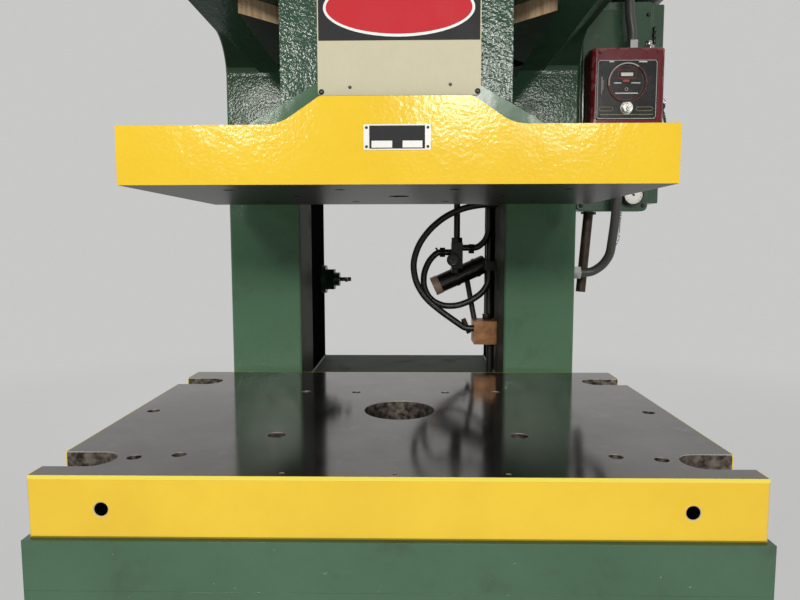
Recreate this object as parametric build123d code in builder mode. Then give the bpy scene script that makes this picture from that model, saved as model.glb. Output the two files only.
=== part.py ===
from build123d import *
import os
from math import cos, pi, radians, sin, sqrt, tan

os.makedirs("parts", exist_ok=True)

# Open-back gap-frame stamping press with a short-stroke eccentric drive.
# Frame: +X right, +Y to the back, +Z up, millimetres. The origin is on the floor,
# midway between the four anchor holes. The slide is at the top of its stroke.

# Overall places
ANCHOR_PITCH_X = 1018
ANCHOR_PITCH_Y = 1000
SLIDE_Y = -260
BOLSTER_TOP_Z = 914
DIE_OPENING = 425
STROKE = 38
CRANK_Z = 2250
FRAME_TOP_Z = 2520

# Bolster plate
BOLSTER_W = 1067
BOLSTER_D = 728
BOLSTER_T = 94
BOLSTER_CHAMFER = 5
SLOT_W = 66
SLOT_LENGTH = 97
SLOT_FRONT_INSET = 74
SLOT_REAR_INSET = 108
KNOCKOUT_D = 141
LIFTING_HOLE_D = 20
LIFTING_HOLE_X = 425
LIFTING_HOLE_DROP = 49
LIFTING_HOLE_DEPTH = 60
LIFTING_HOLE_EDGE = 1.5

# Bed
BED_OVERHANG = 8
BED_LIP = 5
BED_T = 76
SCRAP_W = 300
SCRAP_D = 260
APRON_H = 190
APRON_T = 38
APRON_RIBS = 3
APRON_RIB_T = 20
APRON_RIB_FRONT = 150
APRON_RIB_REAR = 100

# Side frames
FRAME_IN_X = 266
FRAME_T = 183
THROAT_DEPTH = 393
THROAT_R = 85
UPRIGHT_DEPTH = 447
HEAD_BOTTOM_Z = 1756
HEAD_FRONT_OFFSET = 260
HEAD_FRONT_BEVEL = 110
HEAD_REAR_BEVEL = 120
JAW_FRONT_OFFSET = 39
FOOT_T = 40
FOOT_W = 300
FOOT_D = 220
FOOT_INSET = 101
ANCHOR_HOLE_D = 34
ARCH_H = 90
ARCH_END = 260
FRAME_WALL = 38
POCKET_DEPTH = 300
POCKET_RIB = 40
POCKET_COUNT = 3
FRAME_EDGE = 5
HOUSING_T = 60
HOUSING_BOTTOM_Z = 1640
HOUSING_INSET = 20

# Cross members
SHELF_TOP_DROP = 41
SHELF_T = 40
WEB_T = 40
REAR_WEB_BOTTOM_Z = 300
CROWN_WEB_BOTTOM_Z = 1860
WEB_HOLE_W = 320
WEB_HOLE_H = 240
WEB_HOLE_R = 40
WEB_HOLE_Z = 330
CROWN_PLATE_T = 25
COVER_T = 8
COVER_GAP = 30
ROD_CLEARANCE = 4

# Guides: 45 degree flanks at the four corners of the slide column
COLUMN_HALF_W = 183
COLUMN_HALF_D = 220
APEX_X = 262
APEX_LAND = 20
APEX_OFFSET_Y = 156
GIB_GAP = 0.3
GUIDE_BOTTOM_Z = 1662
GUIDE_TOP_Z = 2040
GIB_BOTTOM_Z = 1632
FRONT_GIB_BOTTOM_Z = 1668
GIB_TOP_Z = 2060
GIB_LIP_X = 205
CENTRE_GIB_X = 187
GIB_CAP_T = 25
GIB_CAP_INSET = 60
GIB_BOLT_HEAD = 26
GIB_BOLT_HEAD_H = 11
GIB_BOLT_ROWS = 5
GIB_BOLT_EDGE = 30
GIB_BOLT_SPACING = 110

# Slide
SLIDE_W = 876
SLIDE_D = 488
FLANGE_T = 92
HUMP_H = 135
HUMP_TOP_HALF_W = 118
HUMP_FOOT_HALF_W = 182
SHOULDER_SETBACK = 17
SHOULDER_FOOT_HALF_W = 240
SHOULDER_TOP_HALF_W = 60
SHOULDER_RISE = 103
HUMP_FOOT_R = 70
HUMP_TOP_R = 14
SHANK_HOLE_D = 40
SHANK_HOLE_DEPTH = 60
DRILL_POINT_ANGLE = 118
TAPPED_HOLE_D = 18
TAPPED_HOLE_DEPTH = 36
SIGN_STANDOFF = 8.4
SIGN_OFFSET_X = 5
SIGN_GAP = 3.5
SIGN_CORNER_R = 6
SIGN_SCREW_EDGE = 12
STANDOFF_D = 14
SIGN_W = 254
SIGN_H = 178
SIGN_T = 1.5
PLATE_W = 104
PLATE_H = 39
PLATE_T = 1.2
PLATE_OFFSET_X = 2
PLATE_RISE = 72

# Eccentric drive
JOURNAL_D = 150
SHAFT_D = 170
ECCENTRIC_D = 250
ECCENTRIC_W = 156
BUSH_WALL = 20
RUNNING_GAP = 0.06
SEAT_GAP = 0.1
BALL_D = 170
BALL_Z = 1600
BALL_SLACK = 2
SCREW_D = 100
SCREW_BORE_ROOM = 6
SCREW_TOP_ROOM = 30
PITMAN_W = 150
PITMAN_WALL = 55
PITMAN_NECK_D = 170
PITMAN_NECK_RISE = 15
PITMAN_NECK_OVERLAP = 60
PITMAN_TAPER_Y = 0.8
PITMAN_TAPER_Z = 0.6
PITMAN_TAPER_EDGE = 4
PITMAN_EAR = 44
PITMAN_EAR_H = 45
CAP_BOLT_PITCH = 90
CAP_BOLT_HEAD = 32
CAP_BOLT_HEAD_H = 16
LOCK_RING_H = 34
LOCK_RING_ROOM = 40
LOCK_RING_NOTCH = 16
RETAINER_H = 110
POCKET_D = 262
POCKET_EDGE = 3
SEAT_EDGE = 4
SEAT_FLOOR_T = 14

# Flywheel and clutch on the left, brake on the right
QUILL_D = 220
QUILL_BORE_D = 168
QUILL_LENGTH = 190
QUILL_FLANGE_D = 320
QUILL_FLANGE_T = 24
QUILL_BOLTS = 8
QUILL_BOLT_EDGE = 22
QUILL_BOLT_HEAD = 24
QUILL_BOLT_HEAD_H = 8
FLYWHEEL_D = 920
FLYWHEEL_W = 130
FLYWHEEL_HUB_D = 330
FLYWHEEL_WEB_T = 46
FLYWHEEL_RIM_T = 75
FLYWHEEL_OFFSET = 45
FLYWHEEL_DRAFT = 12
FLYWHEEL_HOLES = 6
FLYWHEEL_HOLE_D = 100
BELT_COUNT = 4
BELT_W = 17
BELT_H = 13
BELT_PITCH = 25
BELT_SUNK = 2
BELT_GAP = 0.4
GROOVE_ROOM = 2
BELT_UPPER_INSET = 3.4
BELT_LOWER_INSET = 6
CLUTCH_D = 430
CLUTCH_T = 40
CLUTCH_WALL = 30
CLUTCH_MOUTH = 30
CLUTCH_GAP = 6
CLUTCH_HUB_GAP = 2
LEFT_STUB_D = 120
RIGHT_STUB_D = 120
BRAKE_D = 380
BRAKE_T = 20
BRAKE_GAP = 36
BRAKE_COVER_D = 470
BRAKE_COVER_BORE = 90
BRAKE_COVER_ROOM = 20
BRAKE_HUB_L = 40
BRAKE_HUB_WALL = 30
CALIPER_D = 68
CALIPER_H = 90
CALIPER_REACH = 40
CALIPER_MOUTH = 44
CALIPER_WALL = 50
PAD_GAP = 0.5
SHAFT_END_CLEARANCE = 14

# Counterbalance air cylinders
CYLINDER_X = 185
CYLINDER_OFFSET_Y = 130
CYLINDER_D = 140
CYLINDER_WALL = 8
CYLINDER_H = 230
CYLINDER_FLANGE_T = 16
CYLINDER_FLANGE_EDGE = 10
ROD_D = 30
PISTON_RISE = 120
PISTON_T = 30
PISTON_GAP = 0.3

# Motor and belt guard
MOTOR_SHEAVE_D = 150
SHEAVE_EDGE = 6
MOTOR_D = 270
MOTOR_LENGTH = 400
MOTOR_SHAFT_D = 48
MOTOR_SETBACK = 200
MOTOR_BELL_L = 50
MOTOR_BELL_TAPER = 12
MOTOR_BELL_INSET = 22
MOTOR_COWL_L = 70
MOTOR_COWL_INSET = 4
MOTOR_FINS = 24
MOTOR_FIN_L = 20
MOTOR_FIN_T = 5
MOTOR_BARREL_INSET = 14
MOTOR_FOOT_W = 220
MOTOR_FOOT_T = 18
MOTOR_FOOT_INSET = 20
MOTOR_PEDESTAL_W = 160
MOTOR_PEDESTAL_INSET = 30
MOTOR_PEDESTAL_SINK = 60
TERMINAL_BOX_X = 130
TERMINAL_BOX_L = 130
TERMINAL_BOX_W = 110
TERMINAL_BOX_RISE = 50
MOTOR_BORE_DEPTH = 62
MOTOR_SHAFT_GAP = 0.3
GUARD_CLEARANCE = 38
GUARD_T = 4
GUARD_DEPTH = 245
GUARD_OFFSET = 31
GUARD_STUD_D = 24
GUARD_STUD_REACH = 30
GUARD_STUD_ANGLES = (25, -55, -110)
GUARD_SLOT_W = 360
GUARD_SLOT_H = 16
GUARD_SLOT_PITCH = 44
GUARD_SLOTS = 13
BRACKET_PLATE_T = 24
BRACKET_REACH = 130
BRACKET_DROP = 200
BRACKET_RISE = 60
BRACKET_EDGE = 30
BRACKET_GUSSET_T = 20
MOTOR_AXIS_H = 160

# Electrical enclosures on the right upright
CASE_FRONT_Y = 190
CASE_BACK_Y = 430
CASE_W = 230
CASE_GAP = 14
CASE_EDGE = 4
CASE_BOTTOM_Z = 1353
CASE_SPLIT_Z = 1868
CASE_TOP_Z = 2180
LID_W = 184
LID_INSET_X = 3
LID_FRONT_Y = 150
LID_BOTTOM_Z = 1330
LID_CORNER_R = 14

# Red control box in front of the lower lid
BOX_LEFT_X = 463
BOX_W = 178
BOX_BOTTOM_Z = 1521
BOX_H = 199
BOX_D = 60
BOX_FOOT_D = 14
BOX_FOOT_R = 9
BOX_FOOT_INSET = 25
BOX_CORNER_R = 12
BOX_RIM_R = 5
PANEL_X = 548
PANEL_Z = 1619
PANEL_W = 146
PANEL_H = 142
PANEL_T = 2
RING_Z = 1636
RING_D = 95
RING_W = 5
RING_T = 3
KEY_Z = 1575.5
KEY_D = 24
KEY_LENGTH = 14
KEY_GRIP_T = 5
KEY_GRIP_L = 9
KEY_GAP = 0.3

# Conduits and the drain pipe of the enclosures
CONDUIT_D = 23
CONDUIT_FITTING_D = 36
CONDUIT_FITTING_H = 22
BOX_CONDUIT_X = 568
BOX_CONDUIT_TOP_Z = 2226
BOX_CONDUIT_TOP_Y = 114
LOWER_CONDUIT_X = 545
LOWER_CONDUIT_END_Y = 170
LOWER_CONDUIT_END_Z = 1170
DRAIN_D = 26
DRAIN_WALL = 3
DRAIN_NUT_D = 42
DRAIN_NUT_H = 26
DRAIN_X = 514
DRAIN_Y = 250
DRAIN_LEAN = 18
DRAIN_END_Z = 1113
LID_GAUGE_D = 52
LID_GAUGE_T = 26
LID_GAUGE_X = 591
LID_GAUGE_RISE = 40

# Air line on the inner side of the right upright
HOSE_D = 18
AIR_Y = 310
OUTER_HOSE_Y = 275
INNER_HOSE_Y = 305
MAIN_PIPE_Y = 334
MUFFLER_Y = 374
MANIFOLD_BOTTOM_Z = 1368
MANIFOLD_H = 50
MANIFOLD_W = 136
MANIFOLD_D = 66
PIPE_D = 20
MAIN_PIPE_INSET = 14
DROP_PIPE_INSET = 111
VALVE_W = 32
VALVE_TOP_Z = 1250
VALVE_H = 74
PORT_Z = 1235
LOOP_PORT_Z = 1222
PORT_LENGTH = 18
AIR_GAUGE_D = 36
AIR_GAUGE_T = 16
TEE_Z = 1170
TEE_H = 26
TEE_DEPTH = 30
MUFFLER_D = 54
MUFFLER_INSET = 19
MUFFLER_LENGTH = 170
MUFFLER_RISE = 70
MUFFLER_END_Z = 1189
MUFFLER_STUB_D = 26
FILTER_W = 64
FILTER_FRONT_Y = 262
FILTER_TOP_Z = 1027
FILTER_H = 66
FILTER_PORT_Z = 1006

# Small valve on the left upright's inner side
SIDE_VALVE_W = 57
SIDE_VALVE_FLANGE_D = 90
SIDE_VALVE_FLANGE_T = 14
SIDE_VALVE_HEX_D = 74
SIDE_VALVE_BONNET_D = 44
SIDE_VALVE_BONNET_L = 16
SIDE_VALVE_Y = 530
SIDE_VALVE_Z = 1132
SPINDLE_D = 13
SPINDLE_LENGTH = 36
SPINDLE_GAP = 0.3
LEVER_LENGTH = 64
LEVER_W = 12
LEVER_T = 7

# Derived places
BOLSTER_FRONT_Y = SLIDE_Y - BOLSTER_D / 2
BOLSTER_BACK_Y = SLIDE_Y + BOLSTER_D / 2
BED_TOP_Z = BOLSTER_TOP_Z - BOLSTER_T
BED_BOTTOM_Z = BED_TOP_Z - BED_T
BED_HALF_W = BOLSTER_W / 2 + BED_OVERHANG
BED_FRONT_Y = BOLSTER_FRONT_Y - BED_LIP
JAW_FRONT_Y = BED_FRONT_Y + JAW_FRONT_OFFSET
FRAME_OUT_X = FRAME_IN_X + FRAME_T
FRAME_MID_X = FRAME_IN_X + FRAME_T / 2
THROAT_Y = SLIDE_Y + THROAT_DEPTH
REAR_Y = THROAT_Y + UPRIGHT_DEPTH
HEAD_FRONT_Y = SLIDE_Y - HEAD_FRONT_OFFSET
SLIDE_FRONT_Y = SLIDE_Y - SLIDE_D / 2
SLIDE_BOTTOM_Z = BOLSTER_TOP_Z + DIE_OPENING
FLANGE_TOP_Z = SLIDE_BOTTOM_Z + FLANGE_T
HUMP_TOP_Z = SLIDE_BOTTOM_Z + HUMP_H
COLUMN_FRONT_Y = SLIDE_Y - COLUMN_HALF_D
ECCENTRICITY = STROKE / 2
PIN_Z = CRANK_Z + ECCENTRICITY
BUSH_D = JOURNAL_D + 2 * BUSH_WALL
BEARING_SHOULDER_X = FRAME_IN_X - 4
FLYWHEEL_IN_X = FRAME_OUT_X + FLYWHEEL_OFFSET
FLYWHEEL_MID_X = FLYWHEEL_IN_X + FLYWHEEL_W / 2
FLYWHEEL_OUT_X = FLYWHEEL_IN_X + FLYWHEEL_W
CLUTCH_IN_X = FRAME_OUT_X + QUILL_LENGTH + CLUTCH_GAP
CLUTCH_OUT_X = CLUTCH_IN_X + CLUTCH_T
SHAFT_LEFT_X = CLUTCH_OUT_X + SHAFT_END_CLEARANCE
BRAKE_IN_X = FRAME_OUT_X + BRAKE_GAP
SHAFT_RIGHT_X = BRAKE_IN_X + BRAKE_T + BRAKE_HUB_L
BRAKE_COVER_X = SHAFT_RIGHT_X + BRAKE_COVER_ROOM
SIGN_MID_Z = HUMP_TOP_Z + SIGN_GAP + SIGN_H / 2
DATA_PLATE_Z = SLIDE_BOTTOM_Z + PLATE_RISE
POCKET_FLOOR_Z = BALL_Z - BALL_D / 2 - ECCENTRICITY - BALL_SLACK - SEAT_FLOOR_T
PITMAN_BOTTOM_Z = BALL_Z + RETAINER_H + LOCK_RING_ROOM + LOCK_RING_H
PITMAN_NECK_Z = GUIDE_TOP_Z + PITMAN_NECK_RISE
SCREW_TOP_Z = PIN_Z - ECCENTRIC_D / 2 - SCREW_TOP_ROOM
PISTON_Z = FRAME_TOP_Z + CROWN_PLATE_T + PISTON_RISE
MOTOR_Y = REAR_Y + MOTOR_SETBACK
MOTOR_Z = CRANK_Z
GUARD_IN_X = FRAME_OUT_X + GUARD_OFFSET
GUARD_OUT_X = GUARD_IN_X + GUARD_DEPTH
MOTOR_X = -FRAME_OUT_X + MOTOR_LENGTH / 2
GUARD_BIG_R = FLYWHEEL_D / 2 + GUARD_CLEARANCE
GUARD_SMALL_R = MOTOR_SHEAVE_D / 2 + GUARD_CLEARANCE
SHELF_TOP_Z = BOLSTER_TOP_Z - SHELF_TOP_DROP
CROWN_TOP_Z = FRAME_TOP_Z + CROWN_PLATE_T


def block(x0, x1, y0, y1, z0, z1):
    """Adds a box between two corners to the part being built."""
    with Locations(((x0 + x1) / 2, (y0 + y1) / 2, (z0 + z1) / 2)):
        Box(x1 - x0, y1 - y0, z1 - z0)


def cut_block(x0, x1, y0, y1, z0, z1):
    """Cuts a box between two corners from the part being built."""
    with Locations(((x0 + x1) / 2, (y0 + y1) / 2, (z0 + z1) / 2)):
        Box(x1 - x0, y1 - y0, z1 - z0, mode=Mode.SUBTRACT)


def polygon(points):
    """A closed flat face through the points."""
    with BuildSketch() as outline:
        with BuildLine():
            Polyline(*points, close=True)
        make_face()
    return outline.sketch


def drill_point(diameter):
    """Cuts the cone that a drill leaves at the end of a hole drilled upwards."""
    height = diameter / 2 / tan(radians(DRILL_POINT_ANGLE / 2))
    Cone(
        diameter / 2, 0, height,
        align=(Align.CENTER, Align.CENTER, Align.MIN), mode=Mode.SUBTRACT,
    )


def side_plane(x):
    """Plane seen from the right: depth along its x, height along its y, normal +X."""
    return Plane.YZ.offset(x)


def front_plane(y):
    """Plane seen from the front: width along its x, height along its y, normal -Y."""
    return Plane.XZ.offset(-y)


def side_frame_outline():
    """C-shaped side view: lower jaw, upright and head round a filleted throat."""
    bevel_y = HEAD_FRONT_Y + HEAD_FRONT_BEVEL
    with BuildSketch() as outline:
        with BuildLine():
            upright = Line((THROAT_Y, BED_BOTTOM_Z), (THROAT_Y, HEAD_BOTTOM_Z - THROAT_R))
            throat = RadiusArc(
                upright @ 1, (THROAT_Y - THROAT_R, HEAD_BOTTOM_Z), -THROAT_R
            )
            Polyline(
                throat @ 1,
                (HEAD_FRONT_Y, HEAD_BOTTOM_Z),
                (HEAD_FRONT_Y, FRAME_TOP_Z - HEAD_FRONT_BEVEL),
                (bevel_y, FRAME_TOP_Z),
                (REAR_Y - HEAD_REAR_BEVEL, FRAME_TOP_Z),
                (REAR_Y, FRAME_TOP_Z - HEAD_REAR_BEVEL),
                (REAR_Y, FOOT_T),
                (REAR_Y - ARCH_END, FOOT_T),
                (REAR_Y - ARCH_END - ARCH_H, FOOT_T + ARCH_H),
                (JAW_FRONT_Y + ARCH_END + ARCH_H, FOOT_T + ARCH_H),
                (JAW_FRONT_Y + ARCH_END, FOOT_T),
                (JAW_FRONT_Y, FOOT_T),
                (JAW_FRONT_Y, BED_BOTTOM_Z),
                upright @ 0,
            )
        make_face()
    return outline.sketch


# Right side frame: head, upright and jaw with a slide guide housing under the head
with BuildPart() as right_side_frame:
    with BuildSketch(side_plane(FRAME_IN_X)):
        add(side_frame_outline())
    extrude(amount=FRAME_T)
    chamfer(
        right_side_frame.edges().filter_by(Axis.Z).filter_by_position(Axis.Z, 0, HEAD_BOTTOM_Z),
        FRAME_EDGE,
    )
    with BuildSketch(front_plane(HEAD_FRONT_Y + HOUSING_INSET)):
        add(
            polygon(
                [
                    (FRAME_IN_X, HEAD_BOTTOM_Z),
                    (FRAME_IN_X, HOUSING_BOTTOM_Z),
                    (FRAME_IN_X + HOUSING_T, HOUSING_BOTTOM_Z),
                    (FRAME_OUT_X - HOUSING_INSET, HEAD_BOTTOM_Z),
                ]
            )
        )
    extrude(amount=-2 * (HEAD_FRONT_OFFSET - HOUSING_INSET))
    with BuildSketch(side_plane(FRAME_IN_X)):
        with Locations((SLIDE_Y, CRANK_Z)):
            Circle(BUSH_D / 2 + SEAT_GAP)
    extrude(amount=FRAME_T, mode=Mode.SUBTRACT)
    pocket_room = HEAD_BOTTOM_Z - 2 * FRAME_WALL - FOOT_T - ARCH_H
    pocket_h = (pocket_room - (POCKET_COUNT - 1) * POCKET_RIB) / POCKET_COUNT
    pocket_mid_z = FOOT_T + ARCH_H + FRAME_WALL + pocket_room / 2
    with BuildSketch(front_plane(REAR_Y)):
        with Locations((FRAME_MID_X, pocket_mid_z)):
            with GridLocations(0, pocket_h + POCKET_RIB, 1, POCKET_COUNT):
                RectangleRounded(FRAME_T - 2 * FRAME_WALL, pocket_h, 20)
    extrude(amount=POCKET_DEPTH, mode=Mode.SUBTRACT)
right_side_frame.part.label = "right_side_frame"
export_step(right_side_frame.part, "parts/right_side_frame.step")

# Left side frame, mirrored
with BuildPart() as left_side_frame:
    add(mirror(right_side_frame.part, about=Plane.YZ, mode=Mode.PRIVATE))
left_side_frame.part.label = "left_side_frame"
export_step(left_side_frame.part, "parts/left_side_frame.step")

# Four foot plates welded under the side frames, with the anchor holes outside
with BuildPart() as foot_plates:
    with BuildSketch():
        with GridLocations(ANCHOR_PITCH_X - 2 * FOOT_INSET, ANCHOR_PITCH_Y, 2, 2):
            Rectangle(FOOT_W, FOOT_D)
        with GridLocations(ANCHOR_PITCH_X, ANCHOR_PITCH_Y, 2, 2):
            Circle(ANCHOR_HOLE_D / 2, mode=Mode.SUBTRACT)
    extrude(amount=FOOT_T)
foot_plates.part.label = "foot_plates"
export_step(foot_plates.part, "parts/foot_plates.step")

# Bed plate under the bolster, open in the middle for scrap
with BuildPart() as bed_plate:
    block(-BED_HALF_W, BED_HALF_W, BED_FRONT_Y, THROAT_Y, BED_BOTTOM_Z, BED_TOP_Z)
    cut_block(
        -SCRAP_W / 2, SCRAP_W / 2,
        SLIDE_Y - SCRAP_D / 2, SLIDE_Y + SCRAP_D / 2,
        BED_BOTTOM_Z, BED_TOP_Z,
    )
bed_plate.part.label = "bed_plate"
export_step(bed_plate.part, "parts/bed_plate.step")

# Apron: front and side plates that carry the bed plate's overhang, with ribs
with BuildPart() as bed_apron:
    apron_z = BED_BOTTOM_Z - APRON_H
    side_in_x = BED_HALF_W - APRON_T
    rib_first_y = JAW_FRONT_Y + APRON_RIB_FRONT
    rib_pitch_y = (THROAT_Y - APRON_RIB_REAR - rib_first_y) / (APRON_RIBS - 1)
    block(-BED_HALF_W, BED_HALF_W, BED_FRONT_Y, JAW_FRONT_Y, apron_z, BED_BOTTOM_Z)
    for side in (-1, 1):
        x0, x1 = sorted((side * side_in_x, side * BED_HALF_W))
        block(x0, x1, JAW_FRONT_Y, THROAT_Y, apron_z, BED_BOTTOM_Z)
        x0, x1 = sorted((side * FRAME_OUT_X, side * side_in_x))
        for rib in range(APRON_RIBS):
            rib_y = rib_first_y + rib * rib_pitch_y
            block(x0, x1, rib_y, rib_y + APRON_RIB_T, apron_z, BED_BOTTOM_Z)
bed_apron.part.label = "bed_apron"
export_step(bed_apron.part, "parts/bed_apron.step")

# Bolster plate: four side slots, knock-out hole, tapped and dowel holes
bolster_holes = [
    (212, 198, 31), (493, 351, 25), (411, 82, 23), (345, 95, 23),
    (213, 513, 20), (100, 511, 20), (165, 17, 8),
]
with BuildPart() as bolster:
    with BuildSketch(Plane.XY.offset(BED_TOP_Z)):
        with Locations((0, SLIDE_Y)):
            Rectangle(BOLSTER_W, BOLSTER_D)
        slot_front_y = BOLSTER_FRONT_Y + SLOT_FRONT_INSET
        slot_rear_y = BOLSTER_BACK_Y - SLOT_REAR_INSET
        slot_x = BOLSTER_W / 2 - SLOT_LENGTH / 2
        for side in (-1, 1):
            for slot_y in (slot_front_y, slot_rear_y):
                inner_x = side * (BOLSTER_W / 2 - SLOT_LENGTH + SLOT_W / 2)
                with Locations((inner_x, slot_y)):
                    Circle(SLOT_W / 2, mode=Mode.SUBTRACT)
                mouth_x = side * (BOLSTER_W / 2 - (SLOT_LENGTH - SLOT_W / 2) / 2)
                with Locations((mouth_x, slot_y)):
                    Rectangle(SLOT_LENGTH - SLOT_W / 2, SLOT_W, mode=Mode.SUBTRACT)
            for hole_x, hole_inset, hole_d in bolster_holes:
                with Locations((side * hole_x, BOLSTER_FRONT_Y + hole_inset)):
                    Circle(hole_d / 2, mode=Mode.SUBTRACT)
        with Locations((0, BOLSTER_FRONT_Y + 17)):
            Circle(4, mode=Mode.SUBTRACT)
        with Locations((0, SLIDE_Y)):
            Circle(KNOCKOUT_D / 2, mode=Mode.SUBTRACT)
    extrude(amount=BOLSTER_T)
    front_face = bolster.faces().sort_by(Axis.Y)[0]
    chamfer(front_face.edges(), BOLSTER_CHAMFER)
    lifting_z = BOLSTER_TOP_Z - LIFTING_HOLE_DROP
    with BuildSketch(front_plane(BOLSTER_FRONT_Y)):
        with Locations((-LIFTING_HOLE_X, lifting_z), (LIFTING_HOLE_X, lifting_z)):
            Circle(LIFTING_HOLE_D / 2)
    extrude(amount=-LIFTING_HOLE_DEPTH, mode=Mode.SUBTRACT)
    mouths = bolster.edges().filter_by(GeomType.CIRCLE).group_by(Axis.Y)[0]
    chamfer(mouths, LIFTING_HOLE_EDGE)
bolster.part.label = "bolster"
export_step(bolster.part, "parts/bolster.step")

# Rear shelf and web between the uprights, below the bolster's level
with BuildPart() as rear_shelf:
    block(-FRAME_IN_X, FRAME_IN_X, THROAT_Y, REAR_Y, SHELF_TOP_Z - SHELF_T, SHELF_TOP_Z)
    block(-FRAME_IN_X, FRAME_IN_X, REAR_Y - WEB_T, REAR_Y, REAR_WEB_BOTTOM_Z, SHELF_TOP_Z - SHELF_T)
rear_shelf.part.label = "rear_shelf"
export_step(rear_shelf.part, "parts/rear_shelf.step")

# Front web between the jaws, arched for the scrap chute
with BuildPart() as front_web:
    block(-FRAME_IN_X, FRAME_IN_X, JAW_FRONT_Y, JAW_FRONT_Y + WEB_T, FOOT_T + ARCH_H, BED_BOTTOM_Z)
    with BuildSketch(front_plane(JAW_FRONT_Y)):
        with Locations((0, WEB_HOLE_Z)):
            RectangleRounded(WEB_HOLE_W, WEB_HOLE_H, WEB_HOLE_R)
    extrude(amount=-WEB_T, mode=Mode.SUBTRACT)
front_web.part.label = "front_web"
export_step(front_web.part, "parts/front_web.step")

# Rear web between the heads
with BuildPart() as crown_rear_web:
    block(
        -FRAME_IN_X, FRAME_IN_X,
        REAR_Y - WEB_T, REAR_Y,
        CROWN_WEB_BOTTOM_Z, FRAME_TOP_Z - HEAD_REAR_BEVEL,
    )
crown_rear_web.part.label = "crown_rear_web"
export_step(crown_rear_web.part, "parts/crown_rear_web.step")

# Crown plate on top of the side frames, bored for the counterbalance rods
cylinder_spots = [
    (CYLINDER_X, SLIDE_Y - CYLINDER_OFFSET_Y),
    (-CYLINDER_X, SLIDE_Y + CYLINDER_OFFSET_Y),
]
with BuildPart() as crown_plate:
    block(
        -FRAME_OUT_X, FRAME_OUT_X,
        HEAD_FRONT_Y + HEAD_FRONT_BEVEL, REAR_Y - HEAD_REAR_BEVEL,
        FRAME_TOP_Z, CROWN_TOP_Z,
    )
    with BuildSketch(Plane.XY.offset(FRAME_TOP_Z)):
        with Locations(*cylinder_spots):
            Circle(ROD_D / 2 + ROD_CLEARANCE)
    extrude(amount=CROWN_PLATE_T, mode=Mode.SUBTRACT)
crown_plate.part.label = "crown_plate"
export_step(crown_plate.part, "parts/crown_plate.step")

# Crown front cover: a folded sheet screwed to the head and its bevel
with BuildPart() as crown_cover:
    cover_bottom_z = GIB_TOP_Z + COVER_GAP
    with BuildSketch(side_plane(-FRAME_OUT_X)):
        add(
            polygon(
                [
                    (HEAD_FRONT_Y, cover_bottom_z),
                    (HEAD_FRONT_Y, FRAME_TOP_Z - HEAD_FRONT_BEVEL),
                    (HEAD_FRONT_Y + HEAD_FRONT_BEVEL, FRAME_TOP_Z),
                    (HEAD_FRONT_Y + HEAD_FRONT_BEVEL, FRAME_TOP_Z + COVER_T * sqrt(2)),
                    (
                        HEAD_FRONT_Y - COVER_T,
                        FRAME_TOP_Z - HEAD_FRONT_BEVEL + COVER_T * tan(radians(22.5)),
                    ),
                    (HEAD_FRONT_Y - COVER_T, cover_bottom_z),
                ]
            )
        )
    extrude(amount=2 * FRAME_OUT_X)
crown_cover.part.label = "crown_cover"
export_step(crown_cover.part, "parts/crown_cover.step")


def flank_y(x, gap):
    """Depth of the front corner's front flank at a width, moved off by a gap."""
    apex_front_y = SLIDE_Y - APEX_OFFSET_Y - APEX_LAND / 2
    return apex_front_y - (APEX_X - x) - gap * sqrt(2)


def inner_flank_y(x, gap):
    """Depth of the front corner's rear flank at a width, moved off by a gap."""
    apex_rear_y = SLIDE_Y - APEX_OFFSET_Y + APEX_LAND / 2
    return apex_rear_y + (APEX_X - x) + gap * sqrt(2)


def across(y):
    """The same depth on the other side of the slide centre."""
    return 2 * SLIDE_Y - y


def gib_pair(points, bottom_z):
    """Two equal gib bars, left and right, from a right-hand section."""
    with BuildPart() as bars:
        with BuildSketch(Plane.XY.offset(bottom_z)):
            add(polygon(points))
            mirror(about=Plane.YZ)
        extrude(amount=GIB_TOP_Z - bottom_z)
    return bars.part


# Front gibs: adjustable bars on the outer flanks of the front corners
front_gib_section = [
    (FRAME_IN_X, flank_y(FRAME_IN_X, GIB_GAP)),
    (GIB_LIP_X, flank_y(GIB_LIP_X, GIB_GAP)),
    (GIB_LIP_X, HEAD_FRONT_Y),
    (FRAME_IN_X, HEAD_FRONT_Y),
]
with BuildPart() as front_gibs:
    add(gib_pair(front_gib_section, FRONT_GIB_BOTTOM_Z))
front_gibs.part.label = "front_gibs"
export_step(front_gibs.part, "parts/front_gibs.step")

# Centre gibs: fixed bars between the front and rear corners
centre_gib_section = [
    (FRAME_IN_X, inner_flank_y(FRAME_IN_X, GIB_GAP)),
    (CENTRE_GIB_X, inner_flank_y(CENTRE_GIB_X, GIB_GAP)),
    (CENTRE_GIB_X, across(inner_flank_y(CENTRE_GIB_X, GIB_GAP))),
    (FRAME_IN_X, across(inner_flank_y(FRAME_IN_X, GIB_GAP))),
]
with BuildPart() as centre_gibs:
    add(gib_pair(centre_gib_section, GIB_BOTTOM_Z))
centre_gibs.part.label = "centre_gibs"
export_step(centre_gibs.part, "parts/centre_gibs.step")

# Rear gibs behind the rear corners
rear_gib_section = [(x, across(y)) for x, y in front_gib_section]
with BuildPart() as rear_gibs:
    add(gib_pair(rear_gib_section, GIB_BOTTOM_Z))
rear_gibs.part.label = "rear_gibs"
export_step(rear_gibs.part, "parts/rear_gibs.step")

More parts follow.
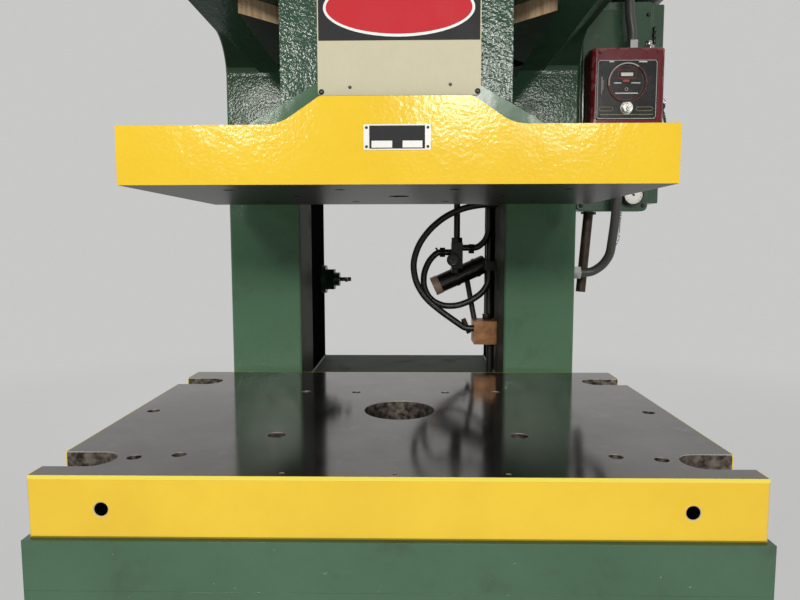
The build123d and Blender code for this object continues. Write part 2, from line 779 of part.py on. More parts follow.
# Gib caps: plates on the head's front that press the front gibs home
gib_cap_out_x = FRAME_OUT_X - GIB_CAP_INSET
gib_cap_mid_x = (GIB_LIP_X + gib_cap_out_x) / 2
gib_cap_mid_z = (FRONT_GIB_BOTTOM_Z + GIB_TOP_Z) / 2
gib_cap_h = GIB_TOP_Z - FRONT_GIB_BOTTOM_Z
gib_bolt_pitch = (gib_cap_h - 2 * GIB_BOLT_EDGE) / (GIB_BOLT_ROWS - 1)
with BuildPart() as gib_caps:
    with BuildSketch(front_plane(HEAD_FRONT_Y)):
        for side in (-1, 1):
            with Locations((side * gib_cap_mid_x, gib_cap_mid_z)):
                Rectangle(gib_cap_out_x - GIB_LIP_X, gib_cap_h)
    extrude(amount=GIB_CAP_T)
    chamfer(gib_caps.faces().sort_by(Axis.Y)[0:2].edges(), 4)
gib_caps.part.label = "gib_caps"
export_step(gib_caps.part, "parts/gib_caps.step")

# Gib cap bolts with hexagon heads
with BuildPart() as gib_bolts:
    with BuildSketch(front_plane(HEAD_FRONT_Y - GIB_CAP_T)):
        for side in (-1, 1):
            with Locations((side * gib_cap_mid_x, gib_cap_mid_z)):
                with GridLocations(GIB_BOLT_SPACING, gib_bolt_pitch, 2, GIB_BOLT_ROWS):
                    RegularPolygon(GIB_BOLT_HEAD / 2, 6)
    extrude(amount=GIB_BOLT_HEAD_H)
gib_bolts.part.label = "gib_bolts"
export_step(gib_bolts.part, "parts/gib_bolts.step")

# Slide: flange with a raised middle, sloped shoulders, column and guide corners
underside_holes = [(98, 94), (98, 394), (290, 94), (290, 394), (200, 244)]
with BuildPart() as slide:
    with BuildSketch(front_plane(SLIDE_FRONT_Y)) as flange_face:
        add(
            polygon(
                [
                    (-SLIDE_W / 2, SLIDE_BOTTOM_Z),
                    (SLIDE_W / 2, SLIDE_BOTTOM_Z),
                    (SLIDE_W / 2, FLANGE_TOP_Z),
                    (HUMP_FOOT_HALF_W, FLANGE_TOP_Z),
                    (HUMP_TOP_HALF_W, HUMP_TOP_Z),
                    (-HUMP_TOP_HALF_W, HUMP_TOP_Z),
                    (-HUMP_FOOT_HALF_W, FLANGE_TOP_Z),
                    (-SLIDE_W / 2, FLANGE_TOP_Z),
                ]
            )
        )
        corners = flange_face.vertices()
        fillet([v for v in corners if abs(abs(v.X) - HUMP_FOOT_HALF_W) < 1], HUMP_FOOT_R)
        corners = flange_face.vertices()
        fillet([v for v in corners if abs(abs(v.X) - HUMP_TOP_HALF_W) < 1], HUMP_TOP_R)
    extrude(amount=-SLIDE_D)
    with BuildSketch(front_plane(SLIDE_FRONT_Y + SHOULDER_SETBACK)):
        add(
            polygon(
                [
                    (-SHOULDER_FOOT_HALF_W, FLANGE_TOP_Z),
                    (SHOULDER_FOOT_HALF_W, FLANGE_TOP_Z),
                    (SHOULDER_TOP_HALF_W, FLANGE_TOP_Z + SHOULDER_RISE),
                    (-SHOULDER_TOP_HALF_W, FLANGE_TOP_Z + SHOULDER_RISE),
                ]
            )
        )
    extrude(amount=-(SLIDE_D - 2 * SHOULDER_SETBACK))
    block(
        -COLUMN_HALF_W, COLUMN_HALF_W,
        COLUMN_FRONT_Y, across(COLUMN_FRONT_Y),
        FLANGE_TOP_Z, GUIDE_TOP_Z,
    )
    with BuildSketch(Plane.XY.offset(GUIDE_BOTTOM_Z)):
        for corner_y in (lambda y: y, across):
            corner = [
                (COLUMN_HALF_W - 1, COLUMN_FRONT_Y),
                (APEX_X - (flank_y(APEX_X, 0) - COLUMN_FRONT_Y), COLUMN_FRONT_Y),
                (APEX_X, flank_y(APEX_X, 0)),
                (APEX_X, inner_flank_y(APEX_X, 0)),
                (COLUMN_HALF_W, inner_flank_y(COLUMN_HALF_W, 0)),
                (COLUMN_HALF_W - 1, inner_flank_y(COLUMN_HALF_W, 0)),
            ]
            add(polygon([(x, corner_y(y)) for x, y in corner]))
            add(polygon([(-x, corner_y(y)) for x, y in corner]))
    extrude(amount=GUIDE_TOP_Z - GUIDE_BOTTOM_Z)
    with BuildSketch(Plane.XY.offset(GUIDE_TOP_Z)):
        with Locations((0, SLIDE_Y)):
            Circle(POCKET_D / 2)
    extrude(amount=POCKET_FLOOR_Z - GUIDE_TOP_Z, mode=Mode.SUBTRACT)
    round_edges = slide.edges().filter_by(GeomType.CIRCLE)
    chamfer([edge for edge in round_edges if abs(edge.radius - POCKET_D / 2) < 1], POCKET_EDGE)
    with BuildSketch(Plane.XY.offset(SLIDE_BOTTOM_Z)):
        with Locations((0, SLIDE_Y)):
            Circle(SHANK_HOLE_D / 2)
    extrude(amount=SHANK_HOLE_DEPTH, mode=Mode.SUBTRACT)
    with Locations((0, SLIDE_Y, SLIDE_BOTTOM_Z + SHANK_HOLE_DEPTH)):
        drill_point(SHANK_HOLE_D)
    with BuildSketch(Plane.XY.offset(SLIDE_BOTTOM_Z)):
        for hole_x, hole_inset in underside_holes:
            for side in (-1, 1):
                with Locations((side * hole_x, SLIDE_FRONT_Y + hole_inset)):
                    Circle(TAPPED_HOLE_D / 2)
    extrude(amount=TAPPED_HOLE_DEPTH, mode=Mode.SUBTRACT)
    with BuildSketch(front_plane(COLUMN_FRONT_Y)):
        with Locations((SIGN_OFFSET_X, SIGN_MID_Z)):
            with GridLocations(SIGN_W - 2 * SIGN_SCREW_EDGE, SIGN_H - 2 * SIGN_SCREW_EDGE, 2, 2):
                Circle(STANDOFF_D / 2)
    extrude(amount=SIGN_STANDOFF)
slide.part.label = "slide"
export_step(slide.part, "parts/slide.step")

# Sign plate on four standoffs of the column, and the small plate on the flange
with BuildPart() as sign_plate:
    with BuildSketch(front_plane(COLUMN_FRONT_Y - SIGN_STANDOFF)):
        with Locations((SIGN_OFFSET_X, SIGN_MID_Z)):
            RectangleRounded(SIGN_W, SIGN_H, SIGN_CORNER_R)
    extrude(amount=SIGN_T)
sign_plate.part.label = "sign_plate"
export_step(sign_plate.part, "parts/sign_plate.step")

with BuildPart() as data_plate:
    with BuildSketch(front_plane(SLIDE_FRONT_Y)):
        with Locations((PLATE_OFFSET_X, DATA_PLATE_Z)):
            RectangleRounded(PLATE_W, PLATE_H, 2)
    extrude(amount=PLATE_T)
data_plate.part.label = "data_plate"
export_step(data_plate.part, "parts/data_plate.step")

# Ball seat: a bronze cup in the slide's pocket, hollowed for the ball and its swing
seat_cavity_r = BALL_D / 2 + ECCENTRICITY + BALL_SLACK
with BuildPart() as ball_seat:
    with BuildSketch(Plane.XY.offset(POCKET_FLOOR_Z)):
        with Locations((0, SLIDE_Y)):
            Circle(POCKET_D / 2 - SEAT_GAP)
    extrude(amount=BALL_Z - POCKET_FLOOR_Z)
    chamfer(ball_seat.faces().sort_by(Axis.Z)[0].edges(), SEAT_EDGE)
    with Locations((0, SLIDE_Y, BALL_Z)):
        Sphere(seat_cavity_r, mode=Mode.SUBTRACT)
ball_seat.part.label = "ball_seat"
export_step(ball_seat.part, "parts/ball_seat.step")

# Ball retainer: a ring over the ball, open for the screw's swing
with BuildPart() as ball_retainer:
    with BuildSketch(Plane.XY.offset(BALL_Z)):
        with Locations((0, SLIDE_Y)):
            Circle(POCKET_D / 2 - SEAT_GAP)
            Circle(SCREW_D / 2 + ECCENTRICITY + BALL_SLACK, mode=Mode.SUBTRACT)
    extrude(amount=RETAINER_H)
    with Locations((0, SLIDE_Y, BALL_Z)):
        Sphere(seat_cavity_r, mode=Mode.SUBTRACT)
ball_retainer.part.label = "ball_retainer"
export_step(ball_retainer.part, "parts/ball_retainer.step")

# Adjusting screw with its ball end
with BuildPart() as adjusting_screw:
    with Locations((0, SLIDE_Y, BALL_Z)):
        Sphere(BALL_D / 2)
    with BuildSketch(Plane.XY.offset(BALL_Z)):
        with Locations((0, SLIDE_Y)):
            Circle(SCREW_D / 2)
    extrude(amount=SCREW_TOP_Z - BALL_Z)
    chamfer(adjusting_screw.faces().sort_by(Axis.Z)[-1].edges(), 4)
adjusting_screw.part.label = "adjusting_screw"
export_step(adjusting_screw.part, "parts/adjusting_screw.step")

# Lock ring clamped on the screw under the pitman
with BuildPart() as lock_ring:
    with BuildSketch(Plane.XY.offset(PITMAN_BOTTOM_Z - LOCK_RING_H)):
        with Locations((0, SLIDE_Y)):
            Circle(PITMAN_NECK_D / 2)
            Circle(SCREW_D / 2 + SEAT_GAP, mode=Mode.SUBTRACT)
            with PolarLocations(PITMAN_NECK_D / 2, 4):
                Rectangle(LOCK_RING_NOTCH, LOCK_RING_NOTCH, mode=Mode.SUBTRACT)
    extrude(amount=LOCK_RING_H)
lock_ring.part.label = "lock_ring"
export_step(lock_ring.part, "parts/lock_ring.step")

# Pitman: lower half of the big end on a tapered shank, bored for the screw
big_end_r = ECCENTRIC_D / 2 + PITMAN_WALL
taper_top_y = big_end_r * PITMAN_TAPER_Y
taper_top_z = PIN_Z - big_end_r * PITMAN_TAPER_Z
taper_foot_y = PITMAN_NECK_D / 2 - PITMAN_TAPER_EDGE
with BuildPart() as pitman:
    with BuildSketch(side_plane(-PITMAN_W / 2)):
        with Locations((SLIDE_Y, PIN_Z)):
            Circle(big_end_r)
            Rectangle(2 * big_end_r + 2 * PITMAN_EAR, 2 * PITMAN_EAR_H)
        add(
            polygon(
                [
                    (SLIDE_Y - taper_top_y, taper_top_z),
                    (SLIDE_Y + taper_top_y, taper_top_z),
                    (SLIDE_Y + taper_foot_y, PITMAN_NECK_Z),
                    (SLIDE_Y - taper_foot_y, PITMAN_NECK_Z),
                ]
            )
        )
    extrude(amount=PITMAN_W)
    with BuildSketch(Plane.XY.offset(PITMAN_BOTTOM_Z)):
        with Locations((0, SLIDE_Y)):
            Circle(PITMAN_NECK_D / 2)
    extrude(amount=PITMAN_NECK_Z + PITMAN_NECK_OVERLAP - PITMAN_BOTTOM_Z)
    with BuildSketch(side_plane(-PITMAN_W)):
        with Locations((SLIDE_Y, PIN_Z)):
            Circle(ECCENTRIC_D / 2 + RUNNING_GAP)
    extrude(amount=2 * PITMAN_W, mode=Mode.SUBTRACT)
    cut_block(
        -PITMAN_W, PITMAN_W,
        SLIDE_Y - 2 * big_end_r, SLIDE_Y + 2 * big_end_r,
        PIN_Z, PIN_Z + 2 * big_end_r,
    )
    with BuildSketch(Plane.XY.offset(PITMAN_BOTTOM_Z)):
        with Locations((0, SLIDE_Y)):
            Circle(SCREW_D / 2 + SEAT_GAP)
    extrude(amount=SCREW_TOP_Z + SCREW_BORE_ROOM - PITMAN_BOTTOM_Z, mode=Mode.SUBTRACT)
pitman.part.label = "pitman"
export_step(pitman.part, "parts/pitman.step")

# Pitman cap: upper half of the big end
with BuildPart() as pitman_cap:
    with BuildSketch(side_plane(-PITMAN_W / 2)):
        with Locations((SLIDE_Y, PIN_Z)):
            Circle(big_end_r)
            Rectangle(2 * big_end_r + 2 * PITMAN_EAR, 2 * PITMAN_EAR_H)
            Circle(ECCENTRIC_D / 2 + RUNNING_GAP, mode=Mode.SUBTRACT)
    extrude(amount=PITMAN_W)
    cut_block(
        -PITMAN_W, PITMAN_W,
        SLIDE_Y - 2 * big_end_r, SLIDE_Y + 2 * big_end_r,
        PIN_Z - 2 * big_end_r, PIN_Z,
    )
pitman_cap.part.label = "pitman_cap"
export_step(pitman_cap.part, "parts/pitman_cap.step")

# Cap bolts through the big end's ears
with BuildPart() as cap_bolts:
    ear_bolt_y = big_end_r + PITMAN_EAR / 2
    with BuildSketch(Plane.XY.offset(PIN_Z + PITMAN_EAR_H)):
        with Locations((0, SLIDE_Y)):
            with GridLocations(CAP_BOLT_PITCH, 2 * ear_bolt_y, 2, 2):
                RegularPolygon(CAP_BOLT_HEAD / 2, 6)
    extrude(amount=CAP_BOLT_HEAD_H)
cap_bolts.part.label = "cap_bolts"
export_step(cap_bolts.part, "parts/cap_bolts.step")


def shaft_piece(x0, x1, diameter, height=CRANK_Z):
    """Adds a round length between two places along the crank axis."""
    with BuildSketch(side_plane(x0)) as disc:
        with Locations((SLIDE_Y, height)):
            Circle(diameter / 2)
    add(extrude(disc.sketch, amount=x1 - x0, mode=Mode.PRIVATE))


# Eccentric shaft: journals in the side frames, stubs for flywheel clutch and brake
with BuildPart() as crankshaft:
    shaft_piece(-BEARING_SHOULDER_X, BEARING_SHOULDER_X, SHAFT_D)
    shaft_piece(-ECCENTRIC_W / 2, ECCENTRIC_W / 2, ECCENTRIC_D, PIN_Z)
    shaft_piece(-FRAME_OUT_X - 10, FRAME_OUT_X + 10, JOURNAL_D)
    shaft_piece(-SHAFT_LEFT_X, -FRAME_OUT_X, LEFT_STUB_D)
    shaft_piece(FRAME_OUT_X, SHAFT_RIGHT_X, RIGHT_STUB_D)
crankshaft.part.label = "crankshaft"
export_step(crankshaft.part, "parts/crankshaft.step")


def ring(x0, x1, outer_d, inner_d, y=SLIDE_Y, z=CRANK_Z):
    """A round ring along X between two places."""
    with BuildPart() as piece:
        with BuildSketch(side_plane(x0)):
            with Locations((y, z)):
                Circle(outer_d / 2)
                Circle(inner_d / 2, mode=Mode.SUBTRACT)
        extrude(amount=x1 - x0)
    return piece.part


# Main bearing bushes pressed into the two side frames
with BuildPart() as main_bushes:
    add(ring(FRAME_IN_X, FRAME_OUT_X, BUSH_D, JOURNAL_D + 2 * RUNNING_GAP))
    add(ring(-FRAME_OUT_X, -FRAME_IN_X, BUSH_D, JOURNAL_D + 2 * RUNNING_GAP))
main_bushes.part.label = "main_bushes"
export_step(main_bushes.part, "parts/main_bushes.step")

# Quill: flanged sleeve on the left side frame that carries the flywheel
with BuildPart() as quill:
    add(ring(-FRAME_OUT_X - QUILL_FLANGE_T, -FRAME_OUT_X, QUILL_FLANGE_D, QUILL_BORE_D))
    add(ring(-FRAME_OUT_X - QUILL_LENGTH, -FRAME_OUT_X, QUILL_D, QUILL_BORE_D))
    with BuildSketch(side_plane(-FRAME_OUT_X - QUILL_FLANGE_T)) as flange_bolts:
        with Locations((SLIDE_Y, CRANK_Z)):
            with PolarLocations(QUILL_FLANGE_D / 2 - QUILL_BOLT_EDGE, QUILL_BOLTS):
                RegularPolygon(QUILL_BOLT_HEAD / 2, 6)
    extrude(amount=-QUILL_BOLT_HEAD_H)
quill.part.label = "quill"
export_step(quill.part, "parts/quill.step")

groove_first_x = -FLYWHEEL_MID_X - BELT_PITCH * (BELT_COUNT - 1) / 2
belt_mid_x = [groove_first_x + BELT_PITCH * belt for belt in range(BELT_COUNT)]


def grooves(radius):
    """V grooves for the belts, as sections to cut from a rim of that radius."""
    depth = BELT_H + BELT_SUNK + GROOVE_ROOM
    with BuildSketch() as cuts:
        for groove_x in belt_mid_x:
            add(
                polygon(
                    [
                        (groove_x - BELT_W / 2 - BELT_GAP, radius + 1),
                        (groove_x + BELT_W / 2 + BELT_GAP, radius + 1),
                        (groove_x + BELT_W / 3, radius - depth),
                        (groove_x - BELT_W / 3, radius - depth),
                    ]
                )
            )
    return cuts.sketch


# Flywheel: grooved rim, six-hole web and a hub bushed for the quill
with BuildPart() as flywheel:
    with BuildSketch(Plane.XY) as flywheel_section:
        rim_in_r = FLYWHEEL_D / 2 - FLYWHEEL_RIM_T
        web_x0 = -FLYWHEEL_MID_X - FLYWHEEL_WEB_T / 2
        with BuildLine():
            Polyline(
                (-FLYWHEEL_OUT_X, QUILL_D / 2 + RUNNING_GAP),
                (-FLYWHEEL_OUT_X, FLYWHEEL_HUB_D / 2),
                (web_x0, FLYWHEEL_HUB_D / 2 + FLYWHEEL_DRAFT),
                (web_x0, rim_in_r - FLYWHEEL_DRAFT),
                (-FLYWHEEL_OUT_X, rim_in_r),
                (-FLYWHEEL_OUT_X, FLYWHEEL_D / 2),
                (-FLYWHEEL_IN_X, FLYWHEEL_D / 2),
                (-FLYWHEEL_IN_X, rim_in_r),
                (web_x0 + FLYWHEEL_WEB_T, rim_in_r - FLYWHEEL_DRAFT),
                (web_x0 + FLYWHEEL_WEB_T, FLYWHEEL_HUB_D / 2 + FLYWHEEL_DRAFT),
                (-FLYWHEEL_IN_X, FLYWHEEL_HUB_D / 2),
                (-FLYWHEEL_IN_X, QUILL_D / 2 + RUNNING_GAP),
                close=True,
            )
        make_face()
        add(grooves(FLYWHEEL_D / 2), mode=Mode.SUBTRACT)
    revolve(axis=Axis.X)
    with BuildSketch(side_plane(-FLYWHEEL_OUT_X)):
        with PolarLocations((rim_in_r + FLYWHEEL_HUB_D / 2) / 2, FLYWHEEL_HOLES):
            Circle(FLYWHEEL_HOLE_D / 2)
    extrude(amount=FLYWHEEL_W, mode=Mode.SUBTRACT)
flywheel.part.position = (0, SLIDE_Y, CRANK_Z)
flywheel.part.label = "flywheel"
export_step(flywheel.part, "parts/flywheel.step")

# Clutch housing bolted to the flywheel's outer face
with BuildPart() as clutch_housing:
    add(ring(-CLUTCH_OUT_X, -CLUTCH_IN_X, CLUTCH_D, LEFT_STUB_D + 2 * CLUTCH_MOUTH))
    add(ring(-CLUTCH_IN_X, -FLYWHEEL_OUT_X, FLYWHEEL_HUB_D, FLYWHEEL_HUB_D - 2 * CLUTCH_WALL))
clutch_housing.part.label = "clutch_housing"
export_step(clutch_housing.part, "parts/clutch_housing.step")

# Clutch hub keyed to the shaft inside the housing's mouth, with the air inlet
clutch_hub_d = LEFT_STUB_D + 2 * (CLUTCH_MOUTH - CLUTCH_HUB_GAP)
with BuildPart() as clutch_hub:
    add(ring(-CLUTCH_OUT_X, -CLUTCH_IN_X, clutch_hub_d, LEFT_STUB_D + 2 * SEAT_GAP))
clutch_hub.part.label = "clutch_hub"
export_step(clutch_hub.part, "parts/clutch_hub.step")

# Brake disc on the right end of the shaft, and its fixed caliper
with BuildPart() as brake_disc:
    add(ring(BRAKE_IN_X, BRAKE_IN_X + BRAKE_T, BRAKE_D, RIGHT_STUB_D + 2 * SEAT_GAP))
    add(ring(BRAKE_IN_X + BRAKE_T, SHAFT_RIGHT_X, RIGHT_STUB_D + 2 * BRAKE_HUB_WALL, RIGHT_STUB_D + 2 * SEAT_GAP))
brake_disc.part.label = "brake_disc"
export_step(brake_disc.part, "parts/brake_disc.step")

with BuildPart() as brake_caliper:
    caliper_y = SLIDE_Y + BRAKE_D / 2 - CALIPER_REACH
    caliper_out_x = BRAKE_IN_X + BRAKE_T + CALIPER_WALL
    caliper_z0 = CRANK_Z - CALIPER_H / 2
    caliper_z1 = CRANK_Z + CALIPER_H / 2
    block(FRAME_OUT_X, caliper_out_x, caliper_y, caliper_y + CALIPER_D, caliper_z0, caliper_z1)
    cut_block(
        BRAKE_IN_X - PAD_GAP, BRAKE_IN_X + BRAKE_T + PAD_GAP,
        caliper_y, caliper_y + CALIPER_MOUTH,
        caliper_z0, caliper_z1,
    )
brake_caliper.part.label = "brake_caliper"
export_step(brake_caliper.part, "parts/brake_caliper.step")

# Brake cover: an open drum bolted over the disc
with BuildPart() as brake_cover:
    add(ring(FRAME_OUT_X, BRAKE_COVER_X, BRAKE_COVER_D, BRAKE_COVER_D - 2 * COVER_T))
    add(ring(BRAKE_COVER_X - COVER_T, BRAKE_COVER_X, BRAKE_COVER_D, BRAKE_COVER_BORE))
brake_cover.part.label = "brake_cover"
export_step(brake_cover.part, "parts/brake_cover.step")

# Counterbalance air cylinders on the crown plate
cylinder_flange = CYLINDER_D + 2 * CYLINDER_FLANGE_EDGE
with BuildPart() as counterbalance_cylinders:
    with BuildSketch(Plane.XY.offset(CROWN_TOP_Z)):
        with Locations(*cylinder_spots):
            Circle(CYLINDER_D / 2)
            Circle(CYLINDER_D / 2 - CYLINDER_WALL, mode=Mode.SUBTRACT)
    extrude(amount=CYLINDER_H)
    with BuildSketch(Plane.XY.offset(CROWN_TOP_Z)):
        with Locations(*cylinder_spots):
            Rectangle(cylinder_flange, cylinder_flange)
            Circle(ROD_D / 2 + PISTON_GAP, mode=Mode.SUBTRACT)
    extrude(amount=CYLINDER_FLANGE_T)
    with BuildSketch(Plane.XY.offset(CROWN_TOP_Z + CYLINDER_H)):
        with Locations(*cylinder_spots):
            Rectangle(cylinder_flange, cylinder_flange)
    extrude(amount=CYLINDER_FLANGE_T)
counterbalance_cylinders.part.label = "counterbalance_cylinders"
export_step(counterbalance_cylinders.part, "parts/counterbalance_cylinders.step")

# Counterbalance rods standing on the slide, each with its piston
with BuildPart() as counterbalance_rods:
    with BuildSketch(Plane.XY.offset(GUIDE_TOP_Z)):
        with Locations(*cylinder_spots):
            Circle(ROD_D / 2)
    extrude(amount=PISTON_Z - GUIDE_TOP_Z)
    with BuildSketch(Plane.XY.offset(PISTON_Z)):
        with Locations(*cylinder_spots):
            Circle(CYLINDER_D / 2 - CYLINDER_WALL - PISTON_GAP)
    extrude(amount=PISTON_T)
counterbalance_rods.part.label = "counterbalance_rods"
export_step(counterbalance_rods.part, "parts/counterbalance_rods.step")


def belt_line(big_r, small_r):
    """Racetrack round the flywheel and the motor sheave, seen from the side."""
    with BuildSketch() as track:
        with BuildLine() as rim:
            CenterArc((SLIDE_Y, CRANK_Z), big_r, 0, 360)
            CenterArc((MOTOR_Y, MOTOR_Z), small_r, 0, 360)
        make_hull(rim.edges())
    return track.sketch


# Motor sheave and shaft, turned by the motor
with BuildPart() as motor_sheave:
    with BuildSketch(Plane.XY):
        sheave_x0 = belt_mid_x[0] - BELT_PITCH / 2 - SHEAVE_EDGE
        sheave_x1 = belt_mid_x[-1] + BELT_PITCH / 2 + SHEAVE_EDGE
        add(
            polygon(
                [
                    (sheave_x0, MOTOR_SHAFT_D / 2 + SEAT_GAP),
                    (sheave_x0, MOTOR_SHEAVE_D / 2),
                    (sheave_x1, MOTOR_SHEAVE_D / 2),
                    (sheave_x1, MOTOR_SHAFT_D / 2 + SEAT_GAP),
                ]
            )
        )
        add(grooves(MOTOR_SHEAVE_D / 2), mode=Mode.SUBTRACT)
    revolve(axis=Axis.X)
motor_sheave.part.position = (0, MOTOR_Y, MOTOR_Z)
motor_sheave.part.label = "motor_sheave"
export_step(motor_sheave.part, "parts/motor_sheave.step")

with BuildPart() as motor_shaft:
    motor_shaft_x0 = sheave_x0 - SHEAVE_EDGE
    with BuildSketch(side_plane(motor_shaft_x0)):
        with Locations((MOTOR_Y, MOTOR_Z)):
            Circle(MOTOR_SHAFT_D / 2)
    extrude(amount=MOTOR_X - MOTOR_LENGTH / 2 + MOTOR_BORE_DEPTH - 2 - motor_shaft_x0)
motor_shaft.part.label = "motor_shaft"
export_step(motor_shaft.part, "parts/motor_shaft.step")

# Motor: finned barrel, end bells, terminal box and feet
with BuildPart() as motor:
    barrel_x0 = MOTOR_X - MOTOR_LENGTH / 2
    barrel_x1 = barrel_x0 + MOTOR_LENGTH
    foot_z = MOTOR_Z - MOTOR_AXIS_H
    with BuildSketch(side_plane(barrel_x0 + MOTOR_BELL_L)):
        with Locations((MOTOR_Y, MOTOR_Z)):
            Circle(MOTOR_D / 2 - MOTOR_BARREL_INSET)
            with PolarLocations(MOTOR_D / 2 - MOTOR_FIN_L / 2, MOTOR_FINS):
                Rectangle(MOTOR_FIN_L, MOTOR_FIN_T)
    extrude(amount=MOTOR_LENGTH - MOTOR_BELL_L - MOTOR_COWL_L)
    with BuildSketch(side_plane(barrel_x0)):
        with Locations((MOTOR_Y, MOTOR_Z)):
            Circle(MOTOR_D / 2 - MOTOR_BELL_INSET)
    extrude(amount=MOTOR_BELL_L, taper=-MOTOR_BELL_TAPER)
    with BuildSketch(side_plane(barrel_x1 - MOTOR_COWL_L)):
        with Locations((MOTOR_Y, MOTOR_Z)):
            Circle(MOTOR_D / 2 - MOTOR_COWL_INSET)
    extrude(amount=MOTOR_COWL_L)
    block(
        barrel_x0 + MOTOR_BELL_L + MOTOR_FOOT_INSET, barrel_x1 - MOTOR_COWL_L - MOTOR_FOOT_INSET,
        MOTOR_Y - MOTOR_FOOT_W / 2, MOTOR_Y + MOTOR_FOOT_W / 2,
        foot_z, foot_z + MOTOR_FOOT_T,
    )
    block(
        barrel_x0 + MOTOR_BELL_L + MOTOR_PEDESTAL_INSET, barrel_x1 - MOTOR_COWL_L - MOTOR_PEDESTAL_INSET,
        MOTOR_Y - MOTOR_PEDESTAL_W / 2, MOTOR_Y + MOTOR_PEDESTAL_W / 2,
        foot_z, MOTOR_Z - MOTOR_PEDESTAL_SINK,
    )
    block(
        barrel_x0 + TERMINAL_BOX_X, barrel_x0 + TERMINAL_BOX_X + TERMINAL_BOX_L,
        MOTOR_Y - TERMINAL_BOX_W / 2, MOTOR_Y + TERMINAL_BOX_W / 2,
        MOTOR_Z + MOTOR_PEDESTAL_SINK, MOTOR_Z + MOTOR_D / 2 + TERMINAL_BOX_RISE,
    )
    with BuildSketch(side_plane(barrel_x0)):
        with Locations((MOTOR_Y, MOTOR_Z)):
            Circle(MOTOR_SHAFT_D / 2 + MOTOR_SHAFT_GAP)
    extrude(amount=MOTOR_BORE_DEPTH, mode=Mode.SUBTRACT)
motor.part.label = "motor"
export_step(motor.part, "parts/motor.step")

# Motor bracket: back plate on the frame, shelf and two gussets
with BuildPart() as motor_bracket:
    shelf_z = MOTOR_Z - MOTOR_AXIS_H
    shelf_x0 = -FRAME_OUT_X
    shelf_x1 = MOTOR_X + MOTOR_LENGTH / 2
    shelf_back_y = MOTOR_Y + BRACKET_REACH
    bracket_z = shelf_z - BRACKET_DROP
    gusset_y = shelf_back_y - BRACKET_EDGE
    block(shelf_x0, shelf_x1, REAR_Y, REAR_Y + BRACKET_PLATE_T, bracket_z, shelf_z + BRACKET_RISE)
    block(shelf_x0, shelf_x1, REAR_Y, shelf_back_y, shelf_z - BRACKET_PLATE_T, shelf_z)
    for gusset_x in (shelf_x0 + BRACKET_EDGE, shelf_x1 - BRACKET_EDGE - BRACKET_GUSSET_T):
        with BuildSketch(side_plane(gusset_x)):
            add(
                polygon(
                    [
                        (REAR_Y + BRACKET_PLATE_T / 2, bracket_z),
                        (REAR_Y + BRACKET_PLATE_T / 2, shelf_z - BRACKET_PLATE_T / 2),
                        (gusset_y, shelf_z - BRACKET_PLATE_T / 2),
                        (gusset_y, shelf_z - 2 * BRACKET_PLATE_T),
                    ]
                )
            )
        extrude(amount=BRACKET_GUSSET_T)
motor_bracket.part.label = "motor_bracket"
export_step(motor_bracket.part, "parts/motor_bracket.step")

# V belts seated in the grooves: a wide upper layer over a narrow lower one
with BuildPart() as v_belts:
    big_r = FLYWHEEL_D / 2 - BELT_SUNK
    small_r = MOTOR_SHEAVE_D / 2 - BELT_SUNK
    layer = BELT_H / 2
    for groove_x in belt_mid_x:
        for depth, width in ((0, BELT_W - BELT_UPPER_INSET), (layer, BELT_W - BELT_LOWER_INSET)):
            with BuildSketch(side_plane(groove_x - width / 2)):
                add(belt_line(big_r - depth, small_r - depth))
                add(belt_line(big_r - depth - layer, small_r - depth - layer), mode=Mode.SUBTRACT)
            extrude(amount=width)
v_belts.part.label = "v_belts"
export_step(v_belts.part, "parts/v_belts.step")

# Belt guard: a bent band round flywheel and sheave, and a slotted face plate
with BuildPart() as guard_band:
    with BuildSketch(side_plane(-GUARD_OUT_X + GUARD_T)):
        add(belt_line(GUARD_BIG_R, GUARD_SMALL_R))
        add(belt_line(GUARD_BIG_R - GUARD_T, GUARD_SMALL_R - GUARD_T), mode=Mode.SUBTRACT)
    extrude(amount=GUARD_DEPTH - GUARD_T)
    with BuildSketch(side_plane(-GUARD_IN_X - GUARD_STUD_REACH)):
        with Locations((SLIDE_Y, CRANK_Z)):
            for stud_angle in GUARD_STUD_ANGLES:
                stud_r = GUARD_BIG_R - (GUARD_T + GUARD_STUD_D) / 2
                with Locations(
                    (stud_r * cos(radians(stud_angle)), stud_r * sin(radians(stud_angle)))
                ):
                    Circle(GUARD_STUD_D / 2)
    extrude(amount=GUARD_OFFSET + GUARD_STUD_REACH)
guard_band.part.label = "guard_band"
export_step(guard_band.part, "parts/guard_band.step")

with BuildPart() as guard_face:
    with BuildSketch(side_plane(-GUARD_OUT_X)):
        add(belt_line(GUARD_BIG_R, GUARD_SMALL_R))
        with Locations((SLIDE_Y, CRANK_Z)):
            with GridLocations(0, GUARD_SLOT_PITCH, 1, GUARD_SLOTS):
                Rectangle(GUARD_SLOT_W, GUARD_SLOT_H, mode=Mode.SUBTRACT)
    extrude(amount=GUARD_T)
guard_face.part.label = "guard_face"
export_step(guard_face.part, "parts/guard_face.step")

# Electrical enclosures: lower and upper cases on the right upright
with BuildPart() as enclosure_cases:
    case_x1 = FRAME_OUT_X + CASE_W
    block(FRAME_OUT_X, case_x1, CASE_FRONT_Y, CASE_BACK_Y, CASE_BOTTOM_Z, CASE_SPLIT_Z - CASE_GAP / 2)
    block(FRAME_OUT_X, case_x1, CASE_FRONT_Y, CASE_BACK_Y, CASE_SPLIT_Z + CASE_GAP / 2, CASE_TOP_Z)
    chamfer(enclosure_cases.edges().filter_by(Axis.Z), CASE_EDGE)
enclosure_cases.part.label = "enclosure_cases"
export_step(enclosure_cases.part, "parts/enclosure_cases.step")

